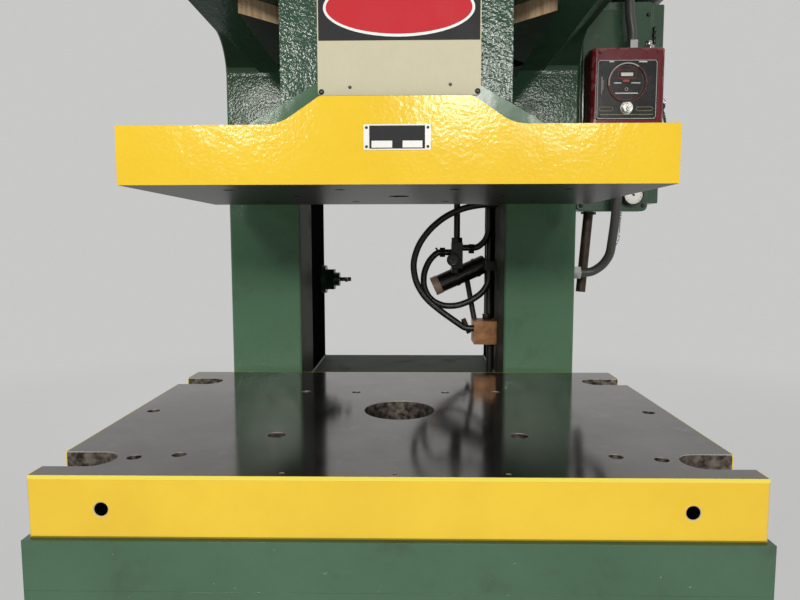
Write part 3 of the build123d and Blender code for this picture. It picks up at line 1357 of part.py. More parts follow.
# Screwed lids on the cases, with rounded corners
lid_x0 = FRAME_OUT_X + LID_INSET_X
lid_mid_x = lid_x0 + LID_W / 2
with BuildPart() as enclosure_lids:
    lid_h = CASE_SPLIT_Z - CASE_GAP - LID_BOTTOM_Z
    with BuildSketch(front_plane(CASE_FRONT_Y)):
        with Locations((lid_mid_x, LID_BOTTOM_Z + lid_h / 2)):
            RectangleRounded(LID_W, lid_h, LID_CORNER_R)
    extrude(amount=CASE_FRONT_Y - LID_FRONT_Y)
    upper_lid_h = CASE_TOP_Z - CASE_SPLIT_Z - CASE_GAP
    with BuildSketch(front_plane(CASE_FRONT_Y)):
        with Locations((lid_mid_x, CASE_TOP_Z - CASE_EDGE - upper_lid_h / 2)):
            RectangleRounded(LID_W, upper_lid_h, LID_CORNER_R)
    extrude(amount=CASE_FRONT_Y - LID_FRONT_Y)
enclosure_lids.part.label = "enclosure_lids"
export_step(enclosure_lids.part, "parts/enclosure_lids.step")

# Control box on four feet in front of the lid
box_mid_x = BOX_LEFT_X + BOX_W / 2
box_top_z = BOX_BOTTOM_Z + BOX_H
box_back_y = LID_FRONT_Y - BOX_FOOT_D
box_front_y = box_back_y - BOX_D
with BuildPart() as control_box:
    with BuildSketch(Plane.XY.offset(BOX_BOTTOM_Z)):
        with Locations((box_mid_x, box_back_y - BOX_D / 2)):
            Rectangle(BOX_W, BOX_D)
    extrude(amount=BOX_H)
    fillet(control_box.edges().filter_by(Axis.Z).group_by(Axis.Y)[0], BOX_CORNER_R)
    fillet(control_box.faces().sort_by(Axis.Y)[0].edges().filter_by(Axis.X), BOX_RIM_R)
    with BuildSketch(front_plane(box_back_y)):
        with Locations((box_mid_x, BOX_BOTTOM_Z + BOX_H / 2)):
            with GridLocations(BOX_W - 2 * BOX_FOOT_INSET, BOX_H - 2 * BOX_FOOT_INSET, 2, 2):
                Circle(BOX_FOOT_R)
    extrude(amount=-BOX_FOOT_D)
control_box.part.label = "control_box"
export_step(control_box.part, "parts/control_box.step")

# Panel plate with its raised round rim
with BuildPart() as control_panel:
    with BuildSketch(front_plane(box_front_y)):
        with Locations((PANEL_X, PANEL_Z)):
            RectangleRounded(PANEL_W, PANEL_H, 4)
        with Locations((PANEL_X, KEY_Z)):
            Circle(KEY_D / 2 + KEY_GAP, mode=Mode.SUBTRACT)
    extrude(amount=PANEL_T)
    with BuildSketch(front_plane(box_front_y - PANEL_T)):
        with Locations((PANEL_X, RING_Z)):
            Circle(RING_D / 2)
            Circle(RING_D / 2 - RING_W, mode=Mode.SUBTRACT)
    extrude(amount=RING_T)
control_panel.part.label = "control_panel"
export_step(control_panel.part, "parts/control_panel.step")

# Key switch knob that turns in the panel
with BuildPart() as key_switch:
    with BuildSketch(front_plane(box_front_y - KEY_GAP)):
        with Locations((PANEL_X, KEY_Z)):
            Circle(KEY_D / 2)
    extrude(amount=KEY_LENGTH)
    with BuildSketch(front_plane(box_front_y - KEY_GAP - KEY_LENGTH)):
        with Locations((PANEL_X, KEY_Z)):
            Rectangle(KEY_GRIP_T, KEY_D - KEY_GRIP_T)
    extrude(amount=KEY_GRIP_L)
key_switch.part.label = "key_switch"
export_step(key_switch.part, "parts/key_switch.step")


def corner_radii(points):
    """Largest even bend at each corner: 0.45 of the shorter run over tan of half the turn."""
    nodes = [Vector(*point) for point in points]
    radii = []
    for before, here, after in zip(nodes, nodes[1:], nodes[2:]):
        turn = radians((here - before).get_angle(after - here))
        run = min((here - before).length, (after - here).length)
        radii.append(0.45 * run / tan(turn / 2))
    return radii


def tube(points, diameter, name):
    """A round hose or conduit of straight runs joined by tangent arcs."""
    radii = corner_radii(points)
    with BuildPart() as hose:
        with BuildLine() as route:
            FilletPolyline(*points, radius=radii)
        path = route.wire()
        with BuildSketch(Plane(path @ 0, z_dir=path % 0)):
            Circle(diameter / 2)
        sweep(path=path)
    expected = pi * diameter**2 / 4 * path.length
    print(name, "length", round(path.length), "least radius", round(min(radii)),
          "volume ratio", round(hose.part.volume / expected, 4))
    return hose.part


# Conduits of the control box: one from its top up into the head's side, one from
# its bottom down in front of the lid and back into the upright's side
box_conduit_y = box_back_y - BOX_D / 2
fitting_end_x = FRAME_OUT_X + CONDUIT_FITTING_H
box_conduit_points = [
    (BOX_CONDUIT_X, box_conduit_y, box_top_z + CONDUIT_FITTING_H),
    (BOX_CONDUIT_X, box_conduit_y, 1766), (562, 106, 1796), (559, 107, 1838),
    (558, 109, 1892), (560, 111, 1948), (566, 113, 2004), (571, BOX_CONDUIT_TOP_Y, 2060),
    (571, BOX_CONDUIT_TOP_Y, 2112), (560, BOX_CONDUIT_TOP_Y, 2160),
    (538, BOX_CONDUIT_TOP_Y, 2200), (506, BOX_CONDUIT_TOP_Y, BOX_CONDUIT_TOP_Z),
    (fitting_end_x, BOX_CONDUIT_TOP_Y, BOX_CONDUIT_TOP_Z),
]
lower_conduit_points = [
    (LOWER_CONDUIT_X, box_conduit_y, BOX_BOTTOM_Z - CONDUIT_FITTING_H),
    (LOWER_CONDUIT_X, box_conduit_y, 1468), (547, 106, 1428), (546, 108, 1386),
    (544, 113, 1344), (544, 121, 1302), (543, 133, 1260), (542, 148, 1216),
    (527, 162, 1188), (501, LOWER_CONDUIT_END_Y, LOWER_CONDUIT_END_Z),
    (fitting_end_x, LOWER_CONDUIT_END_Y, LOWER_CONDUIT_END_Z),
]
with BuildPart() as conduits:
    add(tube(box_conduit_points, CONDUIT_D, "box conduit"))
    add(tube(lower_conduit_points, CONDUIT_D, "lower conduit"))
conduits.part.label = "conduits"
export_step(conduits.part, "parts/conduits.step")

# Hexagonal fittings at the four ends of the conduits
with BuildPart() as conduit_fittings:
    for fitting_x, fitting_z in (
        (BOX_CONDUIT_X, box_top_z), (LOWER_CONDUIT_X, BOX_BOTTOM_Z - CONDUIT_FITTING_H)
    ):
        with BuildSketch(Plane.XY.offset(fitting_z)):
            with Locations((fitting_x, box_conduit_y)):
                RegularPolygon(CONDUIT_FITTING_D / 2, 6)
        extrude(amount=CONDUIT_FITTING_H)
    with BuildSketch(side_plane(FRAME_OUT_X)):
        with Locations(
            (BOX_CONDUIT_TOP_Y, BOX_CONDUIT_TOP_Z), (LOWER_CONDUIT_END_Y, LOWER_CONDUIT_END_Z)
        ):
            RegularPolygon(CONDUIT_FITTING_D / 2, 6)
    extrude(amount=CONDUIT_FITTING_H)
conduit_fittings.part.label = "conduit_fittings"
export_step(conduit_fittings.part, "parts/conduit_fittings.step")

# Drain pipe hanging from the lower case's floor, open below
with BuildPart() as drain_pipe:
    drain_top = Vector(DRAIN_X, DRAIN_Y, CASE_BOTTOM_Z)
    drain_run = Vector(DRAIN_X - DRAIN_LEAN, DRAIN_Y, DRAIN_END_Z) - drain_top
    with BuildSketch(Plane(drain_top, z_dir=drain_run)):
        Circle(DRAIN_D / 2)
        Circle(DRAIN_D / 2 - DRAIN_WALL, mode=Mode.SUBTRACT)
    extrude(amount=drain_run.length)
    with BuildSketch(Plane(drain_top, z_dir=drain_run)):
        RegularPolygon(DRAIN_NUT_D / 2, 6)
        Circle(DRAIN_D / 2 - DRAIN_WALL, mode=Mode.SUBTRACT)
    extrude(amount=DRAIN_NUT_H)
    cut_block(
        DRAIN_X - DRAIN_NUT_D, DRAIN_X + DRAIN_NUT_D,
        DRAIN_Y - DRAIN_NUT_D, DRAIN_Y + DRAIN_NUT_D,
        CASE_BOTTOM_Z, CASE_BOTTOM_Z + DRAIN_NUT_D,
    )
drain_pipe.part.label = "drain_pipe"
export_step(drain_pipe.part, "parts/drain_pipe.step")


def upright_pipe(x, y, z0, z1, diameter):
    """Adds a vertical round length to the part being built."""
    with BuildSketch(Plane.XY.offset(z0)) as section:
        with Locations((x, y)):
            Circle(diameter / 2)
    add(extrude(section.sketch, amount=z1 - z0, mode=Mode.PRIVATE))


# Air manifold on the upright's inner side, behind the slide: a block with a drop
# pipe to the valve, a main pipe down to the filter and a tee on the main pipe
drop_pipe_x = FRAME_IN_X - DROP_PIPE_INSET
main_pipe_x = FRAME_IN_X - MAIN_PIPE_INSET
with BuildPart() as air_manifold:
    block(
        FRAME_IN_X - MANIFOLD_W, FRAME_IN_X,
        MAIN_PIPE_Y + PIPE_D / 2 - MANIFOLD_D, MAIN_PIPE_Y + PIPE_D / 2,
        MANIFOLD_BOTTOM_Z, MANIFOLD_BOTTOM_Z + MANIFOLD_H,
    )
    upright_pipe(drop_pipe_x, AIR_Y, VALVE_TOP_Z, MANIFOLD_BOTTOM_Z, HOSE_D)
    upright_pipe(main_pipe_x, MAIN_PIPE_Y, FILTER_TOP_Z, MANIFOLD_BOTTOM_Z, PIPE_D)
    block(
        FRAME_IN_X - TEE_DEPTH, FRAME_IN_X,
        INNER_HOSE_Y - HOSE_D / 2 - 4, MAIN_PIPE_Y + PIPE_D / 2,
        TEE_Z, TEE_Z + TEE_H,
    )
air_manifold.part.label = "air_manifold"
export_step(air_manifold.part, "parts/air_manifold.step")

# Air valve under the drop pipe, with a port on each side
with BuildPart() as air_valve:
    valve_x0 = drop_pipe_x - VALVE_W / 2
    valve_x1 = drop_pipe_x + VALVE_W / 2
    block(
        valve_x0, valve_x1,
        AIR_Y - VALVE_W / 2, AIR_Y + VALVE_W / 2,
        VALVE_TOP_Z - VALVE_H, VALVE_TOP_Z,
    )
    with BuildSketch(side_plane(valve_x1)):
        with Locations((AIR_Y, PORT_Z)):
            Circle(HOSE_D / 2)
    extrude(amount=PORT_LENGTH)
    with BuildSketch(side_plane(valve_x0)):
        with Locations((INNER_HOSE_Y, LOOP_PORT_Z)):
            Circle(HOSE_D / 2)
    extrude(amount=-PORT_LENGTH)
air_valve.part.label = "air_valve"
export_step(air_valve.part, "parts/air_valve.step")

# Pressure gauges: one on the lower lid and a small one on the valve, with rims
with BuildPart() as pressure_gauges:
    for gauge_x, gauge_y, gauge_z, gauge_d, gauge_t in (
        (LID_GAUGE_X, LID_FRONT_Y, LID_BOTTOM_Z + LID_GAUGE_RISE, LID_GAUGE_D, LID_GAUGE_T),
        (
            valve_x0 + 4, AIR_Y - VALVE_W / 2,
            VALVE_TOP_Z - VALVE_H * 2 / 3, AIR_GAUGE_D, AIR_GAUGE_T,
        ),
    ):
        with BuildSketch(front_plane(gauge_y)):
            with Locations((gauge_x, gauge_z)):
                Circle(gauge_d / 2)
        extrude(amount=gauge_t)
        with BuildSketch(front_plane(gauge_y - gauge_t)):
            with Locations((gauge_x, gauge_z)):
                Circle(gauge_d * 0.45)
        extrude(amount=-3, mode=Mode.SUBTRACT)
pressure_gauges.part.label = "pressure_gauges"
export_step(pressure_gauges.part, "parts/pressure_gauges.step")

# Exhaust muffler: a slanted canister carried by a stub on the upright's wall
muffler_end = Vector(FRAME_IN_X - MUFFLER_INSET, MUFFLER_Y, MUFFLER_END_Z)
muffler_start = muffler_end - Vector(
    sqrt(MUFFLER_LENGTH**2 - MUFFLER_RISE**2), 0, MUFFLER_RISE
)
muffler_run = muffler_end - muffler_start
with BuildPart() as air_muffler:
    with BuildSketch(Plane(muffler_start, z_dir=muffler_run)):
        Circle(MUFFLER_D / 2)
    extrude(amount=muffler_run.length)
    chamfer(air_muffler.edges().filter_by(GeomType.CIRCLE), 5)
    with BuildSketch(side_plane(FRAME_IN_X)):
        with Locations((MUFFLER_Y, MUFFLER_END_Z)):
            Circle(MUFFLER_STUB_D / 2)
    extrude(amount=-2 * MUFFLER_INSET)
    cut_block(
        FRAME_IN_X, FRAME_IN_X + MUFFLER_D,
        MUFFLER_Y - MUFFLER_D, MUFFLER_Y + MUFFLER_D,
        MUFFLER_END_Z - MUFFLER_D, MUFFLER_END_Z + MUFFLER_D,
    )
air_muffler.part.label = "air_muffler"
export_step(air_muffler.part, "parts/air_muffler.step")

# Brass filter at the foot of the main pipe, on a pipe that stands on the rear
# shelf, with a slanted pipe up to the muffler's underside
filter_back_y = MAIN_PIPE_Y + PIPE_D / 2 + 2
filter_mid_y = (FILTER_FRONT_Y + filter_back_y) / 2
with BuildPart() as air_filter:
    slant_foot = Vector(FRAME_IN_X - FILTER_W + 8, filter_back_y - 20, FILTER_TOP_Z - 10)
    slant_head = muffler_start + muffler_run * 0.62 - Vector(0, 0, 10)
    slant_run = slant_head - slant_foot
    with BuildSketch(Plane(slant_foot, z_dir=slant_run)):
        Circle(HOSE_D / 2 - 1)
    extrude(amount=slant_run.length)
    with BuildSketch(Plane(muffler_start - muffler_run, z_dir=muffler_run)):
        Circle(MUFFLER_D / 2 + 0.3)
    extrude(amount=3 * muffler_run.length, mode=Mode.SUBTRACT)
    block(
        FRAME_IN_X - FILTER_W, FRAME_IN_X,
        FILTER_FRONT_Y, filter_back_y,
        FILTER_TOP_Z - FILTER_H, FILTER_TOP_Z,
    )
    upright_pipe(main_pipe_x, filter_mid_y, SHELF_TOP_Z, FILTER_TOP_Z - FILTER_H, PIPE_D)
air_filter.part.label = "air_filter"
export_step(air_filter.part, "parts/air_filter.step")


def wall_points(hose_y, places):
    """Hose points in one upright plane: distance from the wall and height."""
    return [(FRAME_IN_X - inset, hose_y, height) for inset, height in places]


# Hoses of the air line: the outer loop from the wall to the filter, the inner
# loop from the valve to the tee, and the short one from the manifold to the valve
loop_port_inset = DROP_PIPE_INSET + VALVE_W / 2 + PORT_LENGTH
port_inset = DROP_PIPE_INSET - VALVE_W / 2 - PORT_LENGTH
outer_hose_points = wall_points(
    OUTER_HOSE_Y,
    [
        (0, 1356), (42, 1356), (94, 1347), (146, 1324), (190, 1288), (222, 1244),
        (238, 1192), (230, 1138), (202, 1092), (162, 1058), (120, 1028),
        (88, FILTER_PORT_Z), (FILTER_W, FILTER_PORT_Z),
    ],
)
inner_hose_points = wall_points(
    INNER_HOSE_Y,
    [
        (loop_port_inset, LOOP_PORT_Z), (loop_port_inset + 22, LOOP_PORT_Z), (190, 1200),
        (206, 1164), (207, 1122), (188, 1086), (152, 1067), (110, 1067), (70, 1082),
        (36, 1106), (18, 1138), (18, TEE_Z),
    ],
)
drop_hose_points = wall_points(
    AIR_Y,
    [
        (port_inset, PORT_Z), (port_inset - 25, PORT_Z), (28, 1256), (18, 1290), (20, 1330),
        (20, MANIFOLD_BOTTOM_Z),
    ],
)
with BuildPart() as air_hoses:
    add(tube(outer_hose_points, HOSE_D, "outer air hose"))
    add(tube(inner_hose_points, HOSE_D, "inner air hose"))
    add(tube(drop_hose_points, HOSE_D, "drop air hose"))
air_hoses.part.label = "air_hoses"
export_step(air_hoses.part, "parts/air_hoses.step")

# Small valve on the left upright's inner side, near the back: a round flange, a
# hexagonal body and a round bonnet
side_valve_face_x = SIDE_VALVE_W - FRAME_IN_X
side_valve_hex_x = side_valve_face_x - SIDE_VALVE_BONNET_L
with BuildPart() as side_valve:
    with BuildSketch(side_plane(-FRAME_IN_X)):
        with Locations((SIDE_VALVE_Y, SIDE_VALVE_Z)):
            Circle(SIDE_VALVE_FLANGE_D / 2)
    extrude(amount=SIDE_VALVE_FLANGE_T)
    with BuildSketch(side_plane(-FRAME_IN_X)):
        with Locations((SIDE_VALVE_Y, SIDE_VALVE_Z)):
            RegularPolygon(SIDE_VALVE_HEX_D / 2, 6)
    extrude(amount=side_valve_hex_x + FRAME_IN_X)
    with BuildSketch(side_plane(side_valve_hex_x)):
        with Locations((SIDE_VALVE_Y, SIDE_VALVE_Z)):
            Circle(SIDE_VALVE_BONNET_D / 2)
    extrude(amount=SIDE_VALVE_BONNET_L)
side_valve.part.label = "side_valve"
export_step(side_valve.part, "parts/side_valve.step")

# Its handle: a spindle with a short lever
with BuildPart() as valve_handle:
    with BuildSketch(side_plane(side_valve_face_x + SPINDLE_GAP)):
        with Locations((SIDE_VALVE_Y, SIDE_VALVE_Z)):
            Circle(SPINDLE_D / 2)
    extrude(amount=SPINDLE_LENGTH)
    with BuildSketch(side_plane(side_valve_face_x + SPINDLE_LENGTH - 2 * LEVER_T)):
        with Locations((SIDE_VALVE_Y - LEVER_LENGTH / 4, SIDE_VALVE_Z)):
            Rectangle(LEVER_LENGTH, LEVER_W)
    extrude(amount=LEVER_T)
valve_handle.part.label = "valve_handle"
export_step(valve_handle.part, "parts/valve_handle.step")
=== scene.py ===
import math
from functools import reduce

import bpy
from mathutils import Matrix, Vector


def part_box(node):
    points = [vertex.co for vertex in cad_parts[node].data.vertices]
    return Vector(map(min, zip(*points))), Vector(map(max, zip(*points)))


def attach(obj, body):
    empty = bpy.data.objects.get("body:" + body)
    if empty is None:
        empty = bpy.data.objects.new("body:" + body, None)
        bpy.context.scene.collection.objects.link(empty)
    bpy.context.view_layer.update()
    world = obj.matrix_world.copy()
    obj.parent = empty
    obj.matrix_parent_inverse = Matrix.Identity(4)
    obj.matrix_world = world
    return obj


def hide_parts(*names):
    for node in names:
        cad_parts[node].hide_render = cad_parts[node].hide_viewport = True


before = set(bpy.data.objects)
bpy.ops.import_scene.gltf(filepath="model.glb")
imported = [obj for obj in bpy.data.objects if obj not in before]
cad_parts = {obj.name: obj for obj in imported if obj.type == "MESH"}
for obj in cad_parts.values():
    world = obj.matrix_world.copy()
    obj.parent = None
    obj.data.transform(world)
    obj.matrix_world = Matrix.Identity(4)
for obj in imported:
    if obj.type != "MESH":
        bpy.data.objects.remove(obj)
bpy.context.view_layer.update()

# The modelling functions take millimetres. Shaders, lamps and camera work in metres. Places
# come from the frame's node boxes wherever a piece sits on one.
MM = 0.001
TURN = 2 * math.pi

# The photograph's camera
CAMERA_PLACE = (0.024, -1.4755, 1.2472)
CAMERA_LENS = 27.74
CAMERA_YAW = -1.06
CAMERA_PITCH = -5.23
CAMERA_ROLL = 0.09

scene = bpy.context.scene
scene.view_settings.view_transform = "Standard"


# Lengths, selection and finishing


def mm(x, y, z):
    """A place or size given in millimetres."""
    return Vector((x, y, z)) * MM


def box_mm(node):
    """The low and high corners of a node's box in millimetres."""
    low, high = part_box(node)
    return low / MM, high / MM


def middle_mm(node):
    """The middle of a node's box in millimetres."""
    low, high = box_mm(node)
    return (low + high) / 2


def deselect():
    """Nothing selected, so that an operator works on one piece only."""
    bpy.ops.object.select_all(action="DESELECT")


def select(piece):
    """Only this piece selected and active."""
    deselect()
    piece.select_set(True)
    bpy.context.view_layer.objects.active = piece


def apply_modifiers(piece):
    """Applies every modifier of a piece, in order."""
    select(piece)
    for modifier in list(piece.modifiers):
        bpy.ops.object.modifier_apply(modifier=modifier.name)


def round_edges(piece, width, segments=2, angle=35):
    """Rounds the edges that are sharper than an angle, then smooths the shading."""
    bevel = piece.modifiers.new("edges", "BEVEL")
    bevel.width = width * MM
    bevel.segments = segments
    bevel.limit_method = "ANGLE"
    bevel.angle_limit = math.radians(angle)
    apply_modifiers(piece)
    select(piece)
    bpy.ops.object.shade_smooth_by_angle(angle=math.radians(angle))


def settle(piece):
    """Puts the piece's place into its mesh, with its object at the origin."""
    select(piece)
    bpy.ops.object.transform_apply(location=True, rotation=True, scale=True)


def join(pieces):
    """Several meshes made one piece."""
    deselect()
    for piece in pieces:
        piece.select_set(True)
    bpy.context.view_layer.objects.active = pieces[0]
    if len(pieces) > 1:
        bpy.ops.object.join()
    return bpy.context.view_layer.objects.active


def wear(piece, finish):
    """Gives a piece its one material."""
    piece.data.materials.clear()
    piece.data.materials.append(FINISH[finish])


def mount(piece, name, body):
    """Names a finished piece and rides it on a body."""
    piece.name = name
    piece.data.name = name
    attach(piece, body)


def hand_over(pieces, name, finish, body="frame"):
    """Joins finished shapes to one named piece with its finish and body."""
    piece = join(pieces)
    wear(piece, finish)
    mount(piece, name, body)


def fasten(pieces, name, body="frame"):
    """Hands over dark steel screws, bolts, pins or hinges as one piece."""
    hand_over(pieces, name, "dark_steel", body)


# Modelling by primitives, lathe profiles and swept paths, in millimetres

AXIS_TURNS = {
    "Z": (0, 0, 0),
    "X": (0, math.pi / 2, 0),
    "Y": (-math.pi / 2, 0, 0),
    "-Y": (math.pi / 2, 0, 0),
    "-X": (0, -math.pi / 2, 0),
}


def set_down(piece, centre, axis):
    """Turns a piece that stands on +Z along a named axis or a direction, and moves it."""
    if isinstance(axis, str):
        piece.rotation_euler = AXIS_TURNS[axis]
    else:
        piece.rotation_euler = Vector(axis).to_track_quat("Z", "Y").to_euler()
    piece.location = Vector(centre) * MM
    settle(piece)
    return piece


def slab(low, high, edge=1, segments=2):
    """A rectangular piece between two corners with rounded edges."""
    deselect()
    low = mm(*low)
    high = mm(*high)
    bpy.ops.mesh.primitive_cube_add(size=1, location=(low + high) / 2)
    piece = bpy.context.active_object
    piece.scale = high - low
    settle(piece)
    round_edges(piece, edge, segments)
    return piece


def drum(centre, axis, radius, depth, edge=1, sides=48):
    """A round piece that starts at a centre and runs along an axis, with rounded rims."""
    deselect()
    bpy.ops.mesh.primitive_cylinder_add(
        vertices=sides, radius=radius * MM, depth=depth * MM, location=(0, 0, 0),
    )
    piece = bpy.context.active_object
    piece.location.z = depth * MM / 2
    settle(piece)
    if edge:
        round_edges(piece, edge, 2, 50)
    return set_down(piece, centre, axis)


def hexagon(centre, axis, across, depth, edge=1):
    """A hexagonal nut or bolt head with broken corners."""
    return drum(centre, axis, across / 2 / math.cos(math.pi / 6), depth, edge, 6)


def hoop(centre, axis, radius, thickness):
    """A round wire bent to a closed ring."""
    deselect()
    bpy.ops.mesh.primitive_torus_add(
        major_segments=48, minor_segments=10, major_radius=radius * MM, minor_radius=thickness * MM,
    )
    piece = bpy.context.active_object
    bpy.ops.object.shade_smooth_by_angle(angle=math.radians(60))
    return set_down(piece, centre, axis)


def turned(profile, centre, axis, sides):
    """A lathe piece: a profile of (radius, height) points spun round an axis."""
    mesh = bpy.data.meshes.new("profile")
    points = [mm(radius, 0, height) for radius, height in profile]
    links = [(i, i + 1) for i in range(len(points) - 1)]
    mesh.from_pydata(points, links, [])
    piece = bpy.data.objects.new("profile", mesh)
    bpy.context.collection.objects.link(piece)
    select(piece)
    bpy.ops.object.mode_set(mode="EDIT")
    bpy.ops.mesh.select_all(action="SELECT")
    bpy.ops.mesh.spin(steps=sides, angle=TURN, center=(0, 0, 0), axis=(0, 0, 1))
    bpy.ops.mesh.select_all(action="SELECT")
    bpy.ops.mesh.remove_doubles(threshold=0.00001)
    bpy.ops.mesh.normals_make_consistent(inside=False)
    bpy.ops.object.mode_set(mode="OBJECT")
    bpy.ops.object.shade_smooth_by_angle(angle=math.radians(35))
    return set_down(piece, centre, axis)


def screw_head(centre, axis, radius, height):
    """A low round screw head."""
    profile = [
        (0, height), (0.5 * radius, 0.92 * height), (0.85 * radius, 0.5 * height), (radius, 0), (0, 0),
    ]
    return turned(profile, centre, axis, 16)


def washer(centre, axis, inner, outer, depth, sides=32):
    """A flat ring with a bore, its outer corner broken."""
    edge = min(0.25 * depth, 0.25 * (outer - inner))
    profile = [
        (inner, 0), (outer, 0), (outer, depth - edge), (outer - edge, depth), (inner, depth), (inner, 0),
    ]
    return turned(profile, centre, axis, sides)


def pattern(model, places):
    """Copies of a model, each with its own mesh, moved to places and joined."""
    copies = []
    for place in places:
        copy = model.copy()
        copy.data = model.data.copy()
        copy.location = place * MM
        bpy.context.collection.objects.link(copy)
        copies.append(copy)
    bpy.data.objects.remove(model)
    piece = join(copies)
    settle(piece)
    return piece


def even_line(line, step):
    """The same line with its points an even step apart."""
    line = [Vector(point) for point in line]
    lengths = [0]
    for before, after in zip(line, line[1:]):
        lengths.append(lengths[-1] + (after - before).length)
    count = max(2, math.floor(lengths[-1] / step + 0.5))
    points = []
    segment = 0
    for index in range(count + 1):
        distance = lengths[-1] * index / count
        while segment < len(line) - 2 and lengths[segment + 1] < distance:
            segment += 1
        span = lengths[segment + 1] - lengths[segment]
        share = (distance - lengths[segment]) / span if span else 0
        points.append(line[segment].lerp(line[segment + 1], share))
    return points


def swept(line, radius_at, sides):
    """A closed round piece along a line, with a radius for each point's number."""
    line = [Vector(point) for point in line]
    vertices = []
    faces = []
    side_way = None
    for index, point in enumerate(line):
        before = line[max(index - 1, 0)]
        after = line[min(index + 1, len(line) - 1)]
        ahead = (after - before).normalized()
        if side_way is None:
            side_way = ahead.orthogonal().normalized()
        side_way = (side_way - ahead * side_way.dot(ahead)).normalized()
        up_way = ahead.cross(side_way)
        radius = radius_at(index)
        for side in range(sides):
            angle = TURN * side / sides
            away = side_way * math.cos(angle) + up_way * math.sin(angle)
            vertices.append((point + away * radius) * MM)
        if index:
            first = (index - 1) * sides
            for side in range(sides):
                other = (side + 1) % sides
                faces.append((first + side, first + other, first + sides + other, first + sides + side))
    last = len(vertices) - sides
    faces.append(tuple(range(sides))[::-1])
    faces.append(tuple(range(last, last + sides)))
    mesh = bpy.data.meshes.new("swept")
    mesh.from_pydata(vertices, [], faces)
    piece = bpy.data.objects.new("swept", mesh)
    bpy.context.collection.objects.link(piece)
    select(piece)
    bpy.ops.object.shade_smooth_by_angle(angle=math.radians(50))
    return piece


def wire(line, radius, sides=8):
    """A round wire of one thickness along a line."""
    return swept(line, lambda index: radius, sides)


def weld(start, end, radius):
    """A rippled weld bead between two points."""

    def ripple(index):
        return radius * (0.84 + 0.16 * math.sin(index * TURN / 3 + math.sin(index * 0.7)))

    return swept(even_line([start, end], 2), ripple, 8)


def toward(degrees):
    """A direction in the upright plane that faces the front."""
    angle = math.radians(degrees)
    return Vector((math.cos(angle), 0, math.sin(angle)))


def arc_line(centre, radius, start, end, steps=40):
    """Points of an arc in that plane, angles in degrees."""
    turn = (end - start) / steps
    return [centre + toward(start + turn * step) * radius for step in range(steps + 1)]


def dressed(node, body, edge, segments):
    """A copy of a node with rounded edges and flat shading, which stands for the node."""
    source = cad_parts[node]
    piece = source.copy()
    piece.data = source.data.copy()
    piece.parent = None
    piece.matrix_world = Matrix.Identity(4)
    bpy.context.collection.objects.link(piece)
    piece.hide_render = False
    piece.hide_viewport = False
    select(piece)
    bpy.ops.object.mode_set(mode="EDIT")
    bpy.ops.mesh.select_all(action="SELECT")
    bpy.ops.mesh.remove_doubles(threshold=0.00002)
    bpy.ops.mesh.dissolve_limited(angle_limit=math.radians(0.5))
    bpy.ops.object.mode_set(mode="OBJECT")
    round_edges(piece, edge, segments)
    weights = piece.modifiers.new("flat faces", "WEIGHTED_NORMAL")
    weights.keep_sharp = True
    apply_modifiers(piece)
    mount(piece, node + "_body", body)
    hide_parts(node)


# Shader building


